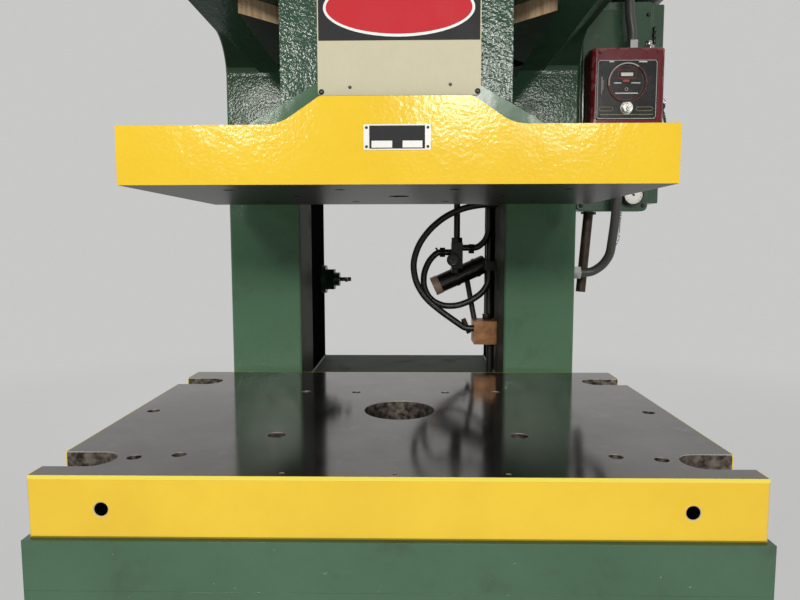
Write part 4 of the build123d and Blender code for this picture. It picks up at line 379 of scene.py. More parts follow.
class Graph:
    """Adds and links the nodes of one material or group."""

    def __init__(self, tree):
        self.tree = tree

    def add(self, kind, values=None, **settings):
        """A node with its settings, its sockets set to values or linked to sockets."""
        node = self.tree.nodes.new(kind)
        for name, value in settings.items():
            setattr(node, name, value)
        self.set(node, values or {})
        return node

    def set(self, node, values):
        """Sets or links several inputs of a node."""
        for key, value in values.items():
            self.feed(node.inputs[key], value)

    def feed(self, socket, value):
        """Sets or links one input. A colour is red, green and blue."""
        if isinstance(value, bpy.types.NodeSocket):
            self.tree.links.new(value, socket)
        elif socket.type == "RGBA":
            socket.default_value = (*value, 1)
        else:
            socket.default_value = value

    def math(self, operation, first, second=0):
        """One arithmetic step."""
        return self.add("ShaderNodeMath", {0: first, 1: second}, operation=operation).outputs[0]

    def times(self, first, second):
        """A product."""
        return self.math("MULTIPLY", first, second)

    def plus(self, first, second):
        """A sum."""
        return self.math("ADD", first, second)

    def opposite(self, mask):
        """Where a mask doesn't hold."""
        return self.math("SUBTRACT", 1, mask)

    def both(self, *masks):
        """Where every mask holds."""
        return reduce(self.times, masks)

    def either(self, *masks):
        """Where any mask holds."""
        return reduce(lambda first, second: self.math("MAXIMUM", first, second), masks)

    def above(self, value, limit):
        """One where a value is over a limit."""
        return self.math("GREATER_THAN", value, limit)

    def below(self, value, limit):
        """One where a value is under a limit."""
        return self.math("LESS_THAN", value, limit)

    def length(self, wide, tall):
        """The distance that two steps at a right angle make."""
        return self.math("SQRT", self.plus(self.times(wide, wide), self.times(tall, tall)))

    def vector(self, operation, first, second=(0, 0, 0)):
        """One step on vectors."""
        values = {0: first, 1: second}
        return self.add("ShaderNodeVectorMath", values, operation=operation).outputs[0]

    def noise(self, place, scale, detail, roughness=0.5):
        """Soft noise, 0 to 1 about 0.5."""
        values = {"Vector": place, "Scale": scale, "Detail": detail, "Roughness": roughness}
        return self.add("ShaderNodeTexNoise", values).outputs[0]

    def span(self, value, low, high, to_low=0, to_high=1):
        """A value's range moved to another, held at its ends."""
        values = {"Value": value, "From Min": low, "From Max": high, "To Min": to_low, "To Max": to_high}
        return self.add("ShaderNodeMapRange", values, clamp=True).outputs[0]

    def mix(self, share, first, second):
        """A blend of two colours."""
        return self.add("ShaderNodeMix", {0: share, 6: first, 7: second}, data_type="RGBA").outputs[2]

    def axes(self, place):
        """The three coordinates of a place."""
        return self.add("ShaderNodeSeparateXYZ", {0: place}).outputs

    def facing_up(self):
        """How far the surface faces up, from -1 to 1."""
        return self.axes(self.add("ShaderNodeNewGeometry").outputs["Normal"])["Z"]

    def bump(self, height, distance):
        """A normal from a height in metres at full scale."""
        values = {"Height": height, "Strength": 1, "Distance": distance}
        return self.add("ShaderNodeBump", values).outputs[0]

    def group(self, group, values):
        """The outputs of a placed group."""
        return self.add("ShaderNodeGroup", values, node_tree=group).outputs

    def blotch(self, place, scale, start, end):
        """One mask of ragged patches."""
        values = {"Place": place, "Scale": scale, "From": start, "To": end}
        return self.group(BLOTCHES, values)["Mask"]

    def peel(self, place, lumps, depth, swell):
        """One enamel relief."""
        values = {"Place": place, "Lumps": lumps, "Depth": depth, "Swell": swell}
        return self.group(ORANGE_PEEL, values)["Normal"]

    def grain(self, place, stretch, depth):
        """Streaks and relief of grinding."""
        return self.group(GRAIN, {"Place": place, "Stretch": stretch, "Depth": depth})


FLOAT = "NodeSocketFloat"
VECTOR = "NodeSocketVector"


def shader_group(name, inputs, outputs):
    """An empty group with named inputs and outputs besides a place, and its graph."""
    group = bpy.data.node_groups.new(name, "ShaderNodeTree")
    group.interface.new_socket("Place", in_out="INPUT", socket_type=VECTOR)
    for socket_name, kind, value in inputs:
        socket = group.interface.new_socket(socket_name, in_out="INPUT", socket_type=kind)
        socket.default_value = value
    for socket_name, kind in outputs:
        group.interface.new_socket(socket_name, in_out="OUTPUT", socket_type=kind)
    g = Graph(group)
    given = g.add("NodeGroupInput").outputs
    leave = g.add("NodeGroupOutput")
    return group, g, given, leave


def make_orange_peel():
    """Relief of thick sprayed or brushed enamel: lumps on a slower swell."""
    inputs = [("Lumps", FLOAT, 200), ("Depth", FLOAT, 0.0004), ("Swell", FLOAT, 30)]
    group, g, given, leave = shader_group("orange_peel", inputs, [("Normal", VECTOR)])
    lumps = g.noise(given["Place"], given["Lumps"], 1.5, 0.4)
    swell = g.noise(given["Place"], given["Swell"], 1, 0.4)
    height = g.plus(lumps, g.times(swell, 1.6))
    g.set(leave, {"Normal": g.bump(height, given["Depth"])})
    return group


def make_blotches():
    """Mask of ragged patches, for grime, fading, rust or scuffs."""
    inputs = [("Scale", FLOAT, 20), ("From", FLOAT, 0.5), ("To", FLOAT, 0.6)]
    group, g, given, leave = shader_group("blotches", inputs, [("Mask", FLOAT)])
    value = g.noise(given["Place"], given["Scale"], 7, 0.62)
    g.set(leave, {"Mask": g.span(value, given["From"], given["To"])})
    return group


def make_grain():
    """Fine lines of grinding or brushing, drawn out by a stretch on each axis."""
    inputs = [("Stretch", VECTOR, (1, 60, 60)), ("Depth", FLOAT, 0.00005)]
    group, g, given, leave = shader_group("grain", inputs, [("Streak", FLOAT), ("Normal", VECTOR)])
    drawn = g.vector("MULTIPLY", given["Place"], given["Stretch"])
    streak = g.noise(drawn, 12, 4, 0.6)
    g.set(leave, {"Streak": streak, "Normal": g.bump(streak, given["Depth"])})
    return group


ORANGE_PEEL = make_orange_peel()
BLOTCHES = make_blotches()
GRAIN = make_grain()


def new_material(name):
    """A material with a Principled shader; returns it, its graph, shader and place."""
    finish = bpy.data.materials.new(name)
    finish.use_nodes = True
    finish.node_tree.nodes.clear()
    g = Graph(finish.node_tree)
    shader = g.add("ShaderNodeBsdfPrincipled")
    g.add("ShaderNodeOutputMaterial", {"Surface": shader.outputs[0]})
    place = g.add("ShaderNodeTexCoord").outputs["Object"]
    return finish, g, shader, place


# Finishes, with colours as linear red, green and blue

GREEN = (0.062, 0.135, 0.078)
GREEN_SHADE = (0.046, 0.108, 0.060)
# Painted bounce light: a lighter green for the foot of the uprights' fronts
FOOT_BOUNCE_LIGHT_GREEN = (0.104, 0.200, 0.122)
# Painted shade: a near-black green for the inside of the head, under the crown
HEAD_SHADE_GREEN = (0.008, 0.014, 0.009)
COLUMN_GREEN = (0.030, 0.072, 0.042)
COLUMN_SHADE = (0.022, 0.055, 0.032)
YELLOW = (0.85, 0.57, 0.032)
YELLOW_SHADE = (0.79, 0.51, 0.028)
# Painted highlight: a bright yellow for the top edge of the bolster's front
TOP_EDGE_HIGHLIGHT_YELLOW = (0.93, 0.76, 0.10)
GRIME = (0.035, 0.035, 0.028)
CHIP = (0.42, 0.42, 0.38)
COLUMN_CHIP = (0.42, 0.48, 0.42)
DUST = (0.050, 0.052, 0.042)
DUST_SHADE = (0.030, 0.030, 0.025)
# Painted shade: near black for the back of the uprights' inner faces
INNER_FACE_SHADE_BLACK = (0.004, 0.005, 0.004)
# Painted shade: near black for the inside of holes
HOLE_SHADE_BLACK = (0.015, 0.013, 0.012)
SPOT = (0.05, 0.04, 0.03)

# Patches on enamel: their scale, and the noise values where they start and are full
TONE = (3.5, 0.35, 0.68)
GRIMY = (14, 0.56, 0.74)
CHIPPED = (90, 0.70, 0.72)


def enamel(
    name, colour, shade, lumps, depth, swell=30, roughness=0.16, chips=0, dust=0.28, specular=0.5,
):
    """Thick gloss enamel: two tones, orange peel, dust and small chips."""
    finish, g, shader, place = new_material(name)
    tone = g.blotch(place, *TONE)
    grime = g.blotch(place, *GRIMY)
    paint = g.mix(g.times(grime, dust), g.mix(tone, colour, shade), GRIME)
    if chips:
        paint = g.mix(g.times(g.blotch(place, *CHIPPED), chips), paint, CHIP)
    g.set(shader, {
        "Base Color": paint,
        "Roughness": g.plus(g.times(grime, 0.22), roughness),
        "Normal": g.peel(place, lumps, depth, swell),
        "Specular IOR Level": specular,
    })
    return finish


def frame_paint():
    """Green enamel of the side frames, dusty on the front of the uprights' inner faces with painted shade,
    near-black, behind that, painted shade inside the head and painted bounce light, a lighter green, at the
    foot of the uprights."""
    low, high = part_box("right_side_frame")
    upright_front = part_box("rear_shelf")[0].y
    dusty_back = 0.318
    head_foot = 1.4
    # Heights over which the painted bounce light on the uprights' fronts fades out
    bounce_light_low = 0.90
    bounce_light_high = 1.22
    finish, g, shader, place = new_material("frame_paint")
    x, y, z = g.axes(place)
    x = g.math("ABSOLUTE", x)
    inner = g.below(x, low.x + 1.2 * MM)
    tone = g.blotch(place, *TONE)
    grime = g.blotch(place, *GRIMY)
    chips = g.blotch(place, *CHIPPED)
    # Painted light: the uprights' fronts lighter green towards their foot, standing in for light bounced off
    # the bolster
    foot_bounce_light = g.both(g.span(z, bounce_light_low, bounce_light_high, 1, 0), g.above(y, upright_front - 13 * MM))
    # Painted shade inside the head: the frame's green darkened there, where shade falls under the crown
    in_head = g.both(g.above(y, low.y + 10 * MM), g.below(y, upright_front - 3 * MM), g.above(z, head_foot))
    head_shade = g.both(g.below(x, high.x - 2 * MM), in_head)
    near = g.both(inner, g.above(y, upright_front + 3 * MM), g.below(y, dusty_back))
    # Painted shade: the uprights' inner faces near-black behind the dusty strip, where shade falls between
    # the uprights
    inner_face_shade = g.both(inner, g.above(y, dusty_back))
    paint = g.mix(foot_bounce_light, g.mix(tone, GREEN, GREEN_SHADE), FOOT_BOUNCE_LIGHT_GREEN)
    paint = g.mix(g.times(grime, 0.25), paint, GRIME)
    paint = g.mix(g.times(chips, 0.5), paint, CHIP)
    paint = g.mix(g.times(head_shade, 0.62), paint, HEAD_SHADE_GREEN)
    paint = g.mix(near, paint, g.mix(grime, DUST, DUST_SHADE))
    muted = g.either(g.times(near, 0.92), inner_face_shade, g.times(head_shade, 0.8))
    rough = g.plus(g.times(grime, 0.20), 0.14)
    g.set(shader, {
        "Base Color": g.mix(inner_face_shade, paint, INNER_FACE_SHADE_BLACK),
        "Specular IOR Level": g.times(g.opposite(muted), 0.16),
        "Roughness": g.plus(rough, g.times(g.either(near, inner_face_shade), 0.3)),
        "Normal": g.peel(place, 190, 0.00042, 26),
    })
    return finish


def slide_paint():
    """Slide: yellow on the flange's outside, dark ground steel below, painted shade near-black in the
    flange's holes, smooth green shoulders and a column under thick, speckled green."""
    low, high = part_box("slide")
    flange_top = 1.431
    shoulder_back = -0.4815
    finish, g, shader, place = new_material("slide_paint")
    x, y, z = g.axes(place)
    x = g.math("ABSOLUTE", x)
    facing_up = g.facing_up()
    at_end = g.either(g.above(x, high.x - 1 * MM), g.above(y, high.y - 1 * MM))
    yellow_area = g.either(g.below(y, low.y + 2 * MM), g.both(at_end, g.below(z, flange_top)))
    under = g.both(g.below(facing_up, -0.8), g.below(z, low.z + 2 * MM))
    in_flange = g.both(g.below(z, flange_top), g.below(facing_up, 0.3))
    in_hole = g.both(in_flange, g.opposite(g.either(yellow_area, under)))
    shoulder = g.both(g.below(y, shoulder_back), g.above(z, flange_top - 1 * MM))
    column = g.above(z, flange_top)
    tone = g.blotch(place, 3, 0.35, 0.68)
    chips = g.blotch(place, 150, 0.66, 0.69)
    speckled = g.mix(g.times(chips, 0.6), g.mix(tone, COLUMN_GREEN, COLUMN_SHADE), COLUMN_CHIP)
    green = g.mix(shoulder, speckled, g.mix(tone, GREEN, GREEN_SHADE))
    painted = g.mix(yellow_area, green, g.mix(tone, YELLOW, YELLOW_SHADE))
    # Painted shade: the walls of the flange's holes near-black, where shade falls inside them
    painted = g.mix(in_hole, painted, HOLE_SHADE_BLACK)
    grain = g.grain(place, (2, 40, 40), 0.00003)
    steel = g.mix(grain["Streak"], (0.010, 0.010, 0.009), (0.032, 0.030, 0.027))
    flat = g.either(yellow_area, shoulder)
    dull = g.either(g.both(column, g.opposite(flat)), g.times(under, 1.6), g.times(flat, 1.2))
    relief = g.mix(shoulder, g.peel(place, 230, 0.0007, 40), g.peel(place, 60, 0.0002, 20))
    relief = g.mix(yellow_area, relief, g.peel(place, 170, 0.00026, 34))
    g.set(shader, {
        "Base Color": g.mix(under, painted, steel),
        "Metallic": g.times(under, 0.25),
        "Roughness": g.either(0.14, g.times(under, 0.36)),
        "Specular IOR Level": g.math("SUBTRACT", 0.5, g.times(dull, 0.25)),
        "Normal": g.mix(under, relief, grain["Normal"]),
    })
    return finish


def bolster_finish():
    """Bolster: oiled ground steel on top, yellow enamel round its sides with a painted highlight along the
    front's top edge, pale rims at the slots and painted shade, near-black, inside the lifting holes."""
    low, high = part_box("bolster")
    lifting_hole_x = 0.425
    lifting_hole_z = 0.865
    lifting_hole_radius = 11 * MM
    finish, g, shader, place = new_material("bolster_finish")
    x, y, z = g.axes(place)
    normal_z = g.facing_up()
    upper = g.span(normal_z, 0.8, 0.95)
    front = g.below(y, low.y + 6.2 * MM)
    skin = 1.5 * MM
    ends = g.either(g.below(x, low.x + skin), g.above(x, high.x - skin), g.above(y, high.y - skin))
    yellow_area = g.either(g.both(front, g.below(normal_z, 0.86)), ends)
    # Painted highlight: a brighter yellow band along the front's top edge, where its chamfer catches the
    # light
    top_edge_highlight = g.both(yellow_area, g.above(z, high.z - 4.5 * MM))
    wide = g.math("SUBTRACT", g.math("ABSOLUTE", x), lifting_hole_x)
    from_hole = g.length(wide, g.math("SUBTRACT", z, lifting_hole_z))
    hole_rim = g.both(front, g.below(from_hole, lifting_hole_radius + 0.6 * MM))
    # Painted shade: the lifting holes' walls near-black, where shade falls inside them
    behind_rim = g.both(g.above(y, low.y + 1.4 * MM), g.below(z, high.z - 14 * MM))
    hole_shade = g.both(behind_rim, g.below(from_hole, lifting_hole_radius))
    grain = g.grain(place, (6, 30, 10), 0.000035)
    worn = g.blotch(place, 5, 0.40, 0.66)
    spots = g.blotch(place, 70, 0.66, 0.72)
    scuffs = g.blotch(place, 22, 0.60, 0.68)
    steel = g.mix(worn, (0.118, 0.111, 0.105), (0.185, 0.174, 0.165))
    steel = g.mix(g.times(grain["Streak"], 0.30), steel, (0.26, 0.25, 0.24))
    steel = g.mix(g.times(scuffs, 0.3), steel, (0.30, 0.29, 0.27))
    steel = g.mix(g.times(spots, 0.6), steel, SPOT)
    rusted = g.span(g.noise(place, 90, 5), 0.35, 0.65)
    rust = g.mix(rusted, (0.040, 0.030, 0.024), (0.26, 0.225, 0.195))
    rust = g.mix(g.above(z, high.z - 1.3 * MM), rust, (0.62, 0.59, 0.54))
    yellow = g.mix(top_edge_highlight, g.mix(worn, YELLOW, YELLOW_SHADE), TOP_EDGE_HIGHLIGHT_YELLOW)
    colour = g.mix(yellow_area, g.mix(upper, rust, steel), yellow)
    colour = g.mix(hole_rim, colour, (0.60, 0.52, 0.30))
    bare = g.opposite(yellow_area)
    sheen = g.plus(g.times(g.noise(place, 9, 5, 0.6), 0.17), 0.03)
    bare_rough = g.times(g.plus(sheen, g.times(g.opposite(upper), 0.4)), bare)
    g.set(shader, {
        # Painted shade, near-black, inside the lifting holes
        "Base Color": g.mix(hole_shade, colour, (0.010, 0.009, 0.008)),
        "Metallic": g.times(bare, 0.92),
        "Roughness": g.plus(bare_rough, g.times(yellow_area, 0.15)),
        "Normal": g.mix(yellow_area, grain["Normal"], g.peel(place, 70, 0.0002, 18)),
    })
    return finish


def metal(name, colour, roughness, stretch=(1, 40, 40), depth=0.00004, metallic=1):
    """Machined or cast metal with grain and small dark spots."""
    finish, g, shader, place = new_material(name)
    grain = g.grain(place, stretch, depth)
    dark = tuple(part * 0.62 for part in colour)
    stain = g.blotch(place, 40, 0.58, 0.75)
    g.set(shader, {
        "Base Color": g.mix(g.times(stain, 0.5), g.mix(grain["Streak"], dark, colour), SPOT),
        "Metallic": metallic,
        "Roughness": g.plus(g.times(stain, 0.25), roughness),
        "Normal": grain["Normal"],
    })
    return finish


def bronze_face():
    """Bare tan gib metal with upright streaks and oily patches, painted near-black as shade on its faces
    turned away from the front and underneath, in the head.
    """
    gib_face = -0.1425
    guide_foot = 1.6
    finish, g, shader, place = new_material("bronze_face")
    grain = g.grain(place, (16, 16, 1.2), 0.00006)
    patches = g.blotch(place, 14, 0.46, 0.70)
    pits = g.blotch(place, 80, 0.66, 0.71)
    tan = g.mix(g.span(grain["Streak"], 0.35, 0.65), (0.60, 0.38, 0.22), (0.88, 0.64, 0.42))
    oily = g.mix(g.times(patches, 0.5), tan, (0.15, 0.085, 0.045))
    bare = g.mix(pits, oily, (0.05, 0.03, 0.02))
    x, y, z = g.axes(place)
    inward = g.plus(y, g.math("ABSOLUTE", x))
    turned_away = g.either(g.above(inward, gib_face), g.below(g.facing_up(), -0.5))
    # Painted shade: faces turned away from the front or facing down, in the head, near-black
    gib_shade = g.both(turned_away, g.above(z, guide_foot))
    g.set(shader, {
        "Base Color": g.mix(gib_shade, bare, (0.016, 0.012, 0.009)),
        "Metallic": 0.1,
        "Roughness": g.span(patches, 0, 1, 0.5, 0.3),
        "Normal": grain["Normal"],
    })
    return finish


def filter_finish():
    """Dull brass filter body on black pipes."""
    body_side = 0.2
    body_foot = 0.9605
    body_top = 1.0275
    finish, g, shader, place = new_material("filter_finish")
    at = g.axes(place)
    body = g.both(g.above(at["X"], body_side), g.above(at["Z"], body_foot), g.below(at["Z"], body_top))
    patches = g.blotch(place, 40, 0.4, 0.7)
    brass = g.mix(patches, (0.36, 0.17, 0.065), (0.17, 0.075, 0.032))
    g.set(shader, {
        "Base Color": g.mix(body, (0.010, 0.010, 0.010), brass),
        "Metallic": g.times(body, 0.4),
        "Roughness": g.span(patches, 0, 1, 0.40, 0.55),
        "Normal": g.bump(g.noise(place, 300, 4), 0.0001),
    })
    return finish


def plain_finish(
    name, colour, roughness, tooth=400, depth=0.00006, metallic=0, mottle=0.25, specular=0.5,
):
    """Rubber, plastic or a plain coat: fine tooth and light mottling."""
    finish, g, shader, place = new_material(name)
    patches = g.blotch(place, 30, 0.4, 0.7)
    pale = tuple(min(1, part * 1.5 + 0.012) for part in colour)
    g.set(shader, {
        "Base Color": g.mix(g.times(patches, mottle), colour, pale),
        "Metallic": metallic,
        "Roughness": g.plus(g.times(patches, 0.12), roughness),
        "Normal": g.bump(g.noise(place, tooth, 3), depth),
        "Specular IOR Level": specular,
    })
    return finish


def worn_corners(g, place, low, high, width, rag):
    """Mask of a ragged band along the edges of a box between two corners."""
    from_low = g.vector("ABSOLUTE", g.vector("SUBTRACT", place, low))
    from_high = g.vector("ABSOLUTE", g.vector("SUBTRACT", high, place))
    x, y, z = g.axes(g.vector("MINIMUM", from_low, from_high))
    middle = g.either(g.math("MINIMUM", x, y), g.math("MINIMUM", g.either(x, y), z))
    ragged = g.span(g.noise(place, rag, 6, 0.6), 0.38, 0.68)
    return g.below(middle, g.times(width, ragged))


def red_box_paint():
    """Dark red gloss enamel of the control box, rubbed pale along its top and corners."""
    low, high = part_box("control_box")
    finish, g, shader, place = new_material("red_box_paint")
    worn = worn_corners(g, place, low, high, 10 * MM, 45)
    upper = g.above(g.axes(place)["Z"], high.z - 3 * MM)
    top = g.both(upper, g.above(g.noise(place, 50, 5), 0.42))
    patches = g.blotch(place, 12, 0.42, 0.72)
    red = g.mix(patches, (0.170, 0.008, 0.018), (0.105, 0.006, 0.012))
    red = g.mix(g.times(worn, 0.5), red, (0.32, 0.14, 0.13))
    g.set(shader, {
        "Base Color": g.mix(g.times(top, 0.35), red, (0.30, 0.14, 0.13)),
        "Specular IOR Level": 0.35,
        "Roughness": g.span(patches, 0, 1, 0.20, 0.34),
        "Normal": g.peel(place, 300, 0.00012, 50),
    })
    return finish


def key_face():
    """Plated key switch with a dark plug."""
    low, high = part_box("key_switch")
    finish, g, shader, place = new_material("key_face")
    x, y, z = g.axes(place)
    wide = g.math("SUBTRACT", x, (low.x + high.x) / 2)
    tall = g.math("SUBTRACT", z, (low.z + high.z) / 2)
    plug = g.both(g.below(g.length(wide, tall), 9 * MM), g.above(y, low.y + 14 * MM))
    g.set(shader, {
        "Base Color": g.mix(plug, (0.62, 0.61, 0.58), (0.015, 0.014, 0.014)),
        "Metallic": g.opposite(plug),
        "Roughness": g.span(g.blotch(place, 60, 0.4, 0.7), 0, 1, 0.16, 0.34),
        "Normal": g.bump(g.noise(place, 500, 3), 0.00003),
    })
    return finish


def brown_rust():
    """Old brown pipe: rust in two tones with a rough skin, under a dark nut."""
    nut_foot = 1.326
    finish, g, shader, place = new_material("brown_rust")
    patches = g.blotch(place, 55, 0.38, 0.66)
    rust = g.mix(patches, (0.018, 0.010, 0.007), (0.060, 0.032, 0.019))
    g.set(shader, {
        "Base Color": g.mix(g.above(g.axes(place)["Z"], nut_foot), rust, (0.016, 0.016, 0.015)),
        "Metallic": 0.2,
        "Roughness": 0.55,
        "Normal": g.bump(g.noise(place, 260, 5), 0.0004),
    })
    return finish


FINISH = {
    "frame": frame_paint(),
    "green": enamel("press_green", GREEN, GREEN_SHADE, 150, 0.00032, 22, 0.15, chips=0.5),
    # Painted shade: a darker copy of the press green for the enclosures, which sit in shade under the crown
    "shaded_case_green": enamel(
        "shaded_case_green", (0.036, 0.080, 0.046), (0.026, 0.060, 0.034), 170, 0.0002, 26, 0.22, chips=0.4,
    ),
    "dusty": enamel(
        "dusty_green", (0.060, 0.066, 0.054), (0.045, 0.050, 0.042), 120, 0.0002, 22, 0.6, specular=0.08,
    ),
    "dark_green": enamel("dark_green", (0.018, 0.050, 0.034), (0.012, 0.034, 0.024), 200, 0.0002, 40, 0.3),
    "yellow": enamel("press_yellow", YELLOW, YELLOW_SHADE, 120, 0.0003, 26, 0.18, chips=0.3),
    "slide": slide_paint(),
    "bolster": bolster_finish(),
    "bronze": bronze_face(),
    "steel": metal("machined_steel", (0.52, 0.51, 0.50), 0.24),
    "dark_steel": metal("blackened_steel", (0.055, 0.055, 0.058), 0.38, metallic=0.8),
    "cast": metal("cast_iron", (0.17, 0.17, 0.175), 0.48, (6, 6, 6), 0.0002, 0.9),
    "grey": enamel("grey_enamel", (0.20, 0.225, 0.235), (0.15, 0.17, 0.18), 260, 0.0002, 30, 0.30),
    "red": red_box_paint(),
    "black_gloss": plain_finish("black_gloss", (0.012, 0.012, 0.013), 0.22, 90, 0.00003, specular=0.3),
    "black_oily": plain_finish("black_oily", (0.014, 0.013, 0.013), 0.32, 160, 0.0002, metallic=0.3),
    "rubber": plain_finish("hose_rubber", (0.010, 0.010, 0.011), 0.34, 700, 0.00005),
    "conduit": plain_finish("grey_conduit", (0.050, 0.050, 0.045), 0.38, 300, 0.0001),
    "rust": brown_rust(),
    "brass": filter_finish(),
    "chrome": metal("plated_metal", (0.62, 0.62, 0.62), 0.16, (30, 30, 30), 0.00002),
    "key": key_face(),
    "white": plain_finish("white_enamel", (0.72, 0.71, 0.68), 0.3, 200, 0.00004, mottle=0.1),
    "cream": plain_finish(
        "cream_enamel", (0.53, 0.49, 0.35), 0.42, 60, 0.00008, mottle=0.12, specular=0.15,
    ),
    "sign_red": plain_finish(
        "sign_red", (0.50, 0.020, 0.030), 0.42, 60, 0.00008, mottle=0.08, specular=0.12,
    ),
    "sign_black": plain_finish(
        "sign_black", (0.016, 0.016, 0.018), 0.42, 60, 0.00008, mottle=0.3, specular=0.12,
    ),
    "line_red": plain_finish("line_red", (0.36, 0.035, 0.030), 0.3, 60, 0.00005, mottle=0.2),
    "olive": plain_finish("olive_line", (0.36, 0.34, 0.20), 0.35, 200, 0.00005),
    "silver": plain_finish("silver_print", (0.50, 0.50, 0.47), 0.34, 200, 0.00005, metallic=0.3),
    "beige": plain_finish("beige_plastic", (0.52, 0.36, 0.28), 0.42, 300, 0.00008),
}

PLAIN_NODES = {
    "dark_green": ["side_valve"],
    "bronze": ["front_gibs", "centre_gibs", "rear_gibs", "main_bushes", "ball_seat", "ball_retainer"],
    "steel": [
        "crankshaft", "adjusting_screw", "motor_shaft", "counterbalance_rods", "brake_disc", "clutch_hub",
        "quill", "lock_ring",
    ],
    "dark_steel": ["gib_bolts", "cap_bolts", "brake_caliper", "valve_handle"],
    "cast": ["motor_sheave"],
    "black_gloss": ["control_panel"],
    "white": ["data_plate"],
    "cream": ["sign_plate"],
    "chrome": ["conduit_fittings"],
    "key": ["key_switch"],
    "conduit": ["conduits"],
    "rust": ["drain_pipe"],
    "black_oily": ["air_manifold", "air_valve", "air_muffler", "pressure_gauges"],
    "rubber": ["air_hoses", "v_belts"],
}
for finish_name, node_names in PLAIN_NODES.items():
    for node_name in node_names:
        wear(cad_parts[node_name], finish_name)

# Nodes with rounded edges, by slot and body: finish, edge in millimetres, its steps and nodes
ROUNDED_NODES = {
    ("green_paint", "frame"): [
        ("frame", 3, 3, ["right_side_frame", "left_side_frame"]),
        ("green", 3, 3, ["crown_cover"]),
        ("green", 3, 2, ["foot_plates", "crown_plate", "front_web", "crown_rear_web"]),
        ("green", 2, 2, ["motor_bracket"]),
        ("green", 1.5, 2, ["gib_caps"]),
        ("green", 0.5, 2, ["bed_plate", "bed_apron"]),
        # The enclosures' darker green is painted shade
        ("shaded_case_green", 3, 3, ["enclosure_lids"]),
        ("shaded_case_green", 2, 2, ["enclosure_cases"]),
        ("dusty", 2, 2, ["rear_shelf"]),
    ],
    ("ground_steel", "frame"): [("bolster", 0.7, 2, ["bolster"])],
    ("red_paint", "frame"): [("red", 2, 2, ["control_box"])],
    ("yellow_paint", "frame"): [
        ("yellow", 2, 2, ["brake_cover"]),
        ("yellow", 1.2, 2, ["guard_band"]),
        ("yellow", 1, 2, ["guard_face"]),
    ],
    ("grey_paint", "frame"): [
        ("grey", 2, 2, ["counterbalance_cylinders"]), ("grey", 1.5, 2, ["motor"]),
    ],
    ("brass", "frame"): [("brass", 1, 2, ["air_filter"])],
    ("yellow_paint", "slide_body"): [("slide", 1.6, 3, ["slide"])],
    ("cast_iron", "flywheel_body"): [("cast", 2, 2, ["clutch_housing"]), ("cast", 1.5, 2, ["flywheel"])],
    ("cast_iron", "pitman_body"): [("cast", 3, 2, ["pitman"]), ("cast", 2, 2, ["pitman_cap"])],
}
for (slot_name, body_name), rows in ROUNDED_NODES.items():
    for finish_name, edge_width, steps, node_names in rows:
        for node_name in node_names:
            wear(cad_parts[node_name], finish_name)
            dressed(node_name, body_name, edge_width, steps)


# Printed fields and small fittings, in millimetres


class Face:
    """A node's front face, set back by an inset, with places from its lower left corner."""

    def __init__(self, node, inset=0):
        self.corner = box_mm(node)[0] + Vector((0, inset, 0))

    def at(self, x, z, lift=0):
        """A point of the face, or one lifted off it to the front."""
        return self.corner + Vector((x, -lift, z))

    def patch(self, x0, x1, z0, z1, depth=0.25):
        """A thin printed rectangle."""
        return slab(self.at(x0, z0, depth), self.at(x1, z1, -0.1), 0.05, 1)

    def ring(self, x, z, radius, width, start=0, end=360, lift=0):
        """A printed ring or arc."""
        return wire(arc_line(self.at(x, z, lift), radius, start, end), width / 2, 6)

    def outline(self, x0, x1, z0, z1, width, corner):
        """A printed outline with round corners."""
        points = []
        for x, z, start in (
            (x1 - corner, z1 - corner, 0), (x0 + corner, z1 - corner, 90),
            (x0 + corner, z0 + corner, 180), (x1 - corner, z0 + corner, 270),
        ):
            points += arc_line(self.at(x, z), corner, start, start + 90, 6)
        return wire(points + [points[0]], width / 2, 6)

    def screws(self, columns, rows, radius, height, lift=0):
        """Screw heads where columns and rows cross."""
        return [screw_head(self.at(x, z, lift), "-Y", radius, height) for x in columns for z in rows]


def sign():
    """Plate with a dark header, a rimmed red oval and a bare pale field."""
    face = Face("sign_plate")
    header = face.patch(1.8, 252.2, 82.8, 176.2)
    hand_over([header], "sign_header", "sign_black", "slide_body")
    for name, half_width, half_height, depth, finish in (
        ("sign_oval_rim", 117.2, 43.5, 0.5, "white"), ("sign_oval", 113, 39.3, 0.75, "sign_red"),
    ):
        oval = drum((0, 0, 0), "-Y", 1, depth, 0, 72)
        oval.scale = (half_width, 1, half_height)
        oval.location = face.at(126.8, 131.7) * MM
        settle(oval)
        hand_over([oval], name, finish, "slide_body")
    screws = face.screws((5.5, 249), (5.5, 172.5), 4.4, 2, 0.2)
    for x, z in ((50, 12.5), (206.5, 16)):
        screws.append(screw_head(face.at(x, z, 0.2), "-Y", 2.6, 2.2))
    fasten(screws, "sign_screws", "slide_body")


def data_plate():
    """Small pale plate with a black field, two pale boxes and four drive screws."""
    face = Face("data_plate")
    hand_over([face.patch(9, 95, 2, 37)], "data_plate_field", "sign_black", "slide_body")
    boxes = [face.patch(12.4, 44.4, 3.5, 14, 0.45), face.patch(60.5, 91, 3.5, 14, 0.45)]
    hand_over(boxes, "data_plate_boxes", "white", "slide_body")
    pins = face.screws((4.5, 99.5), (5, 34), 2.3, 1.2)
    fasten(pins, "data_plate_pins", "slide_body")


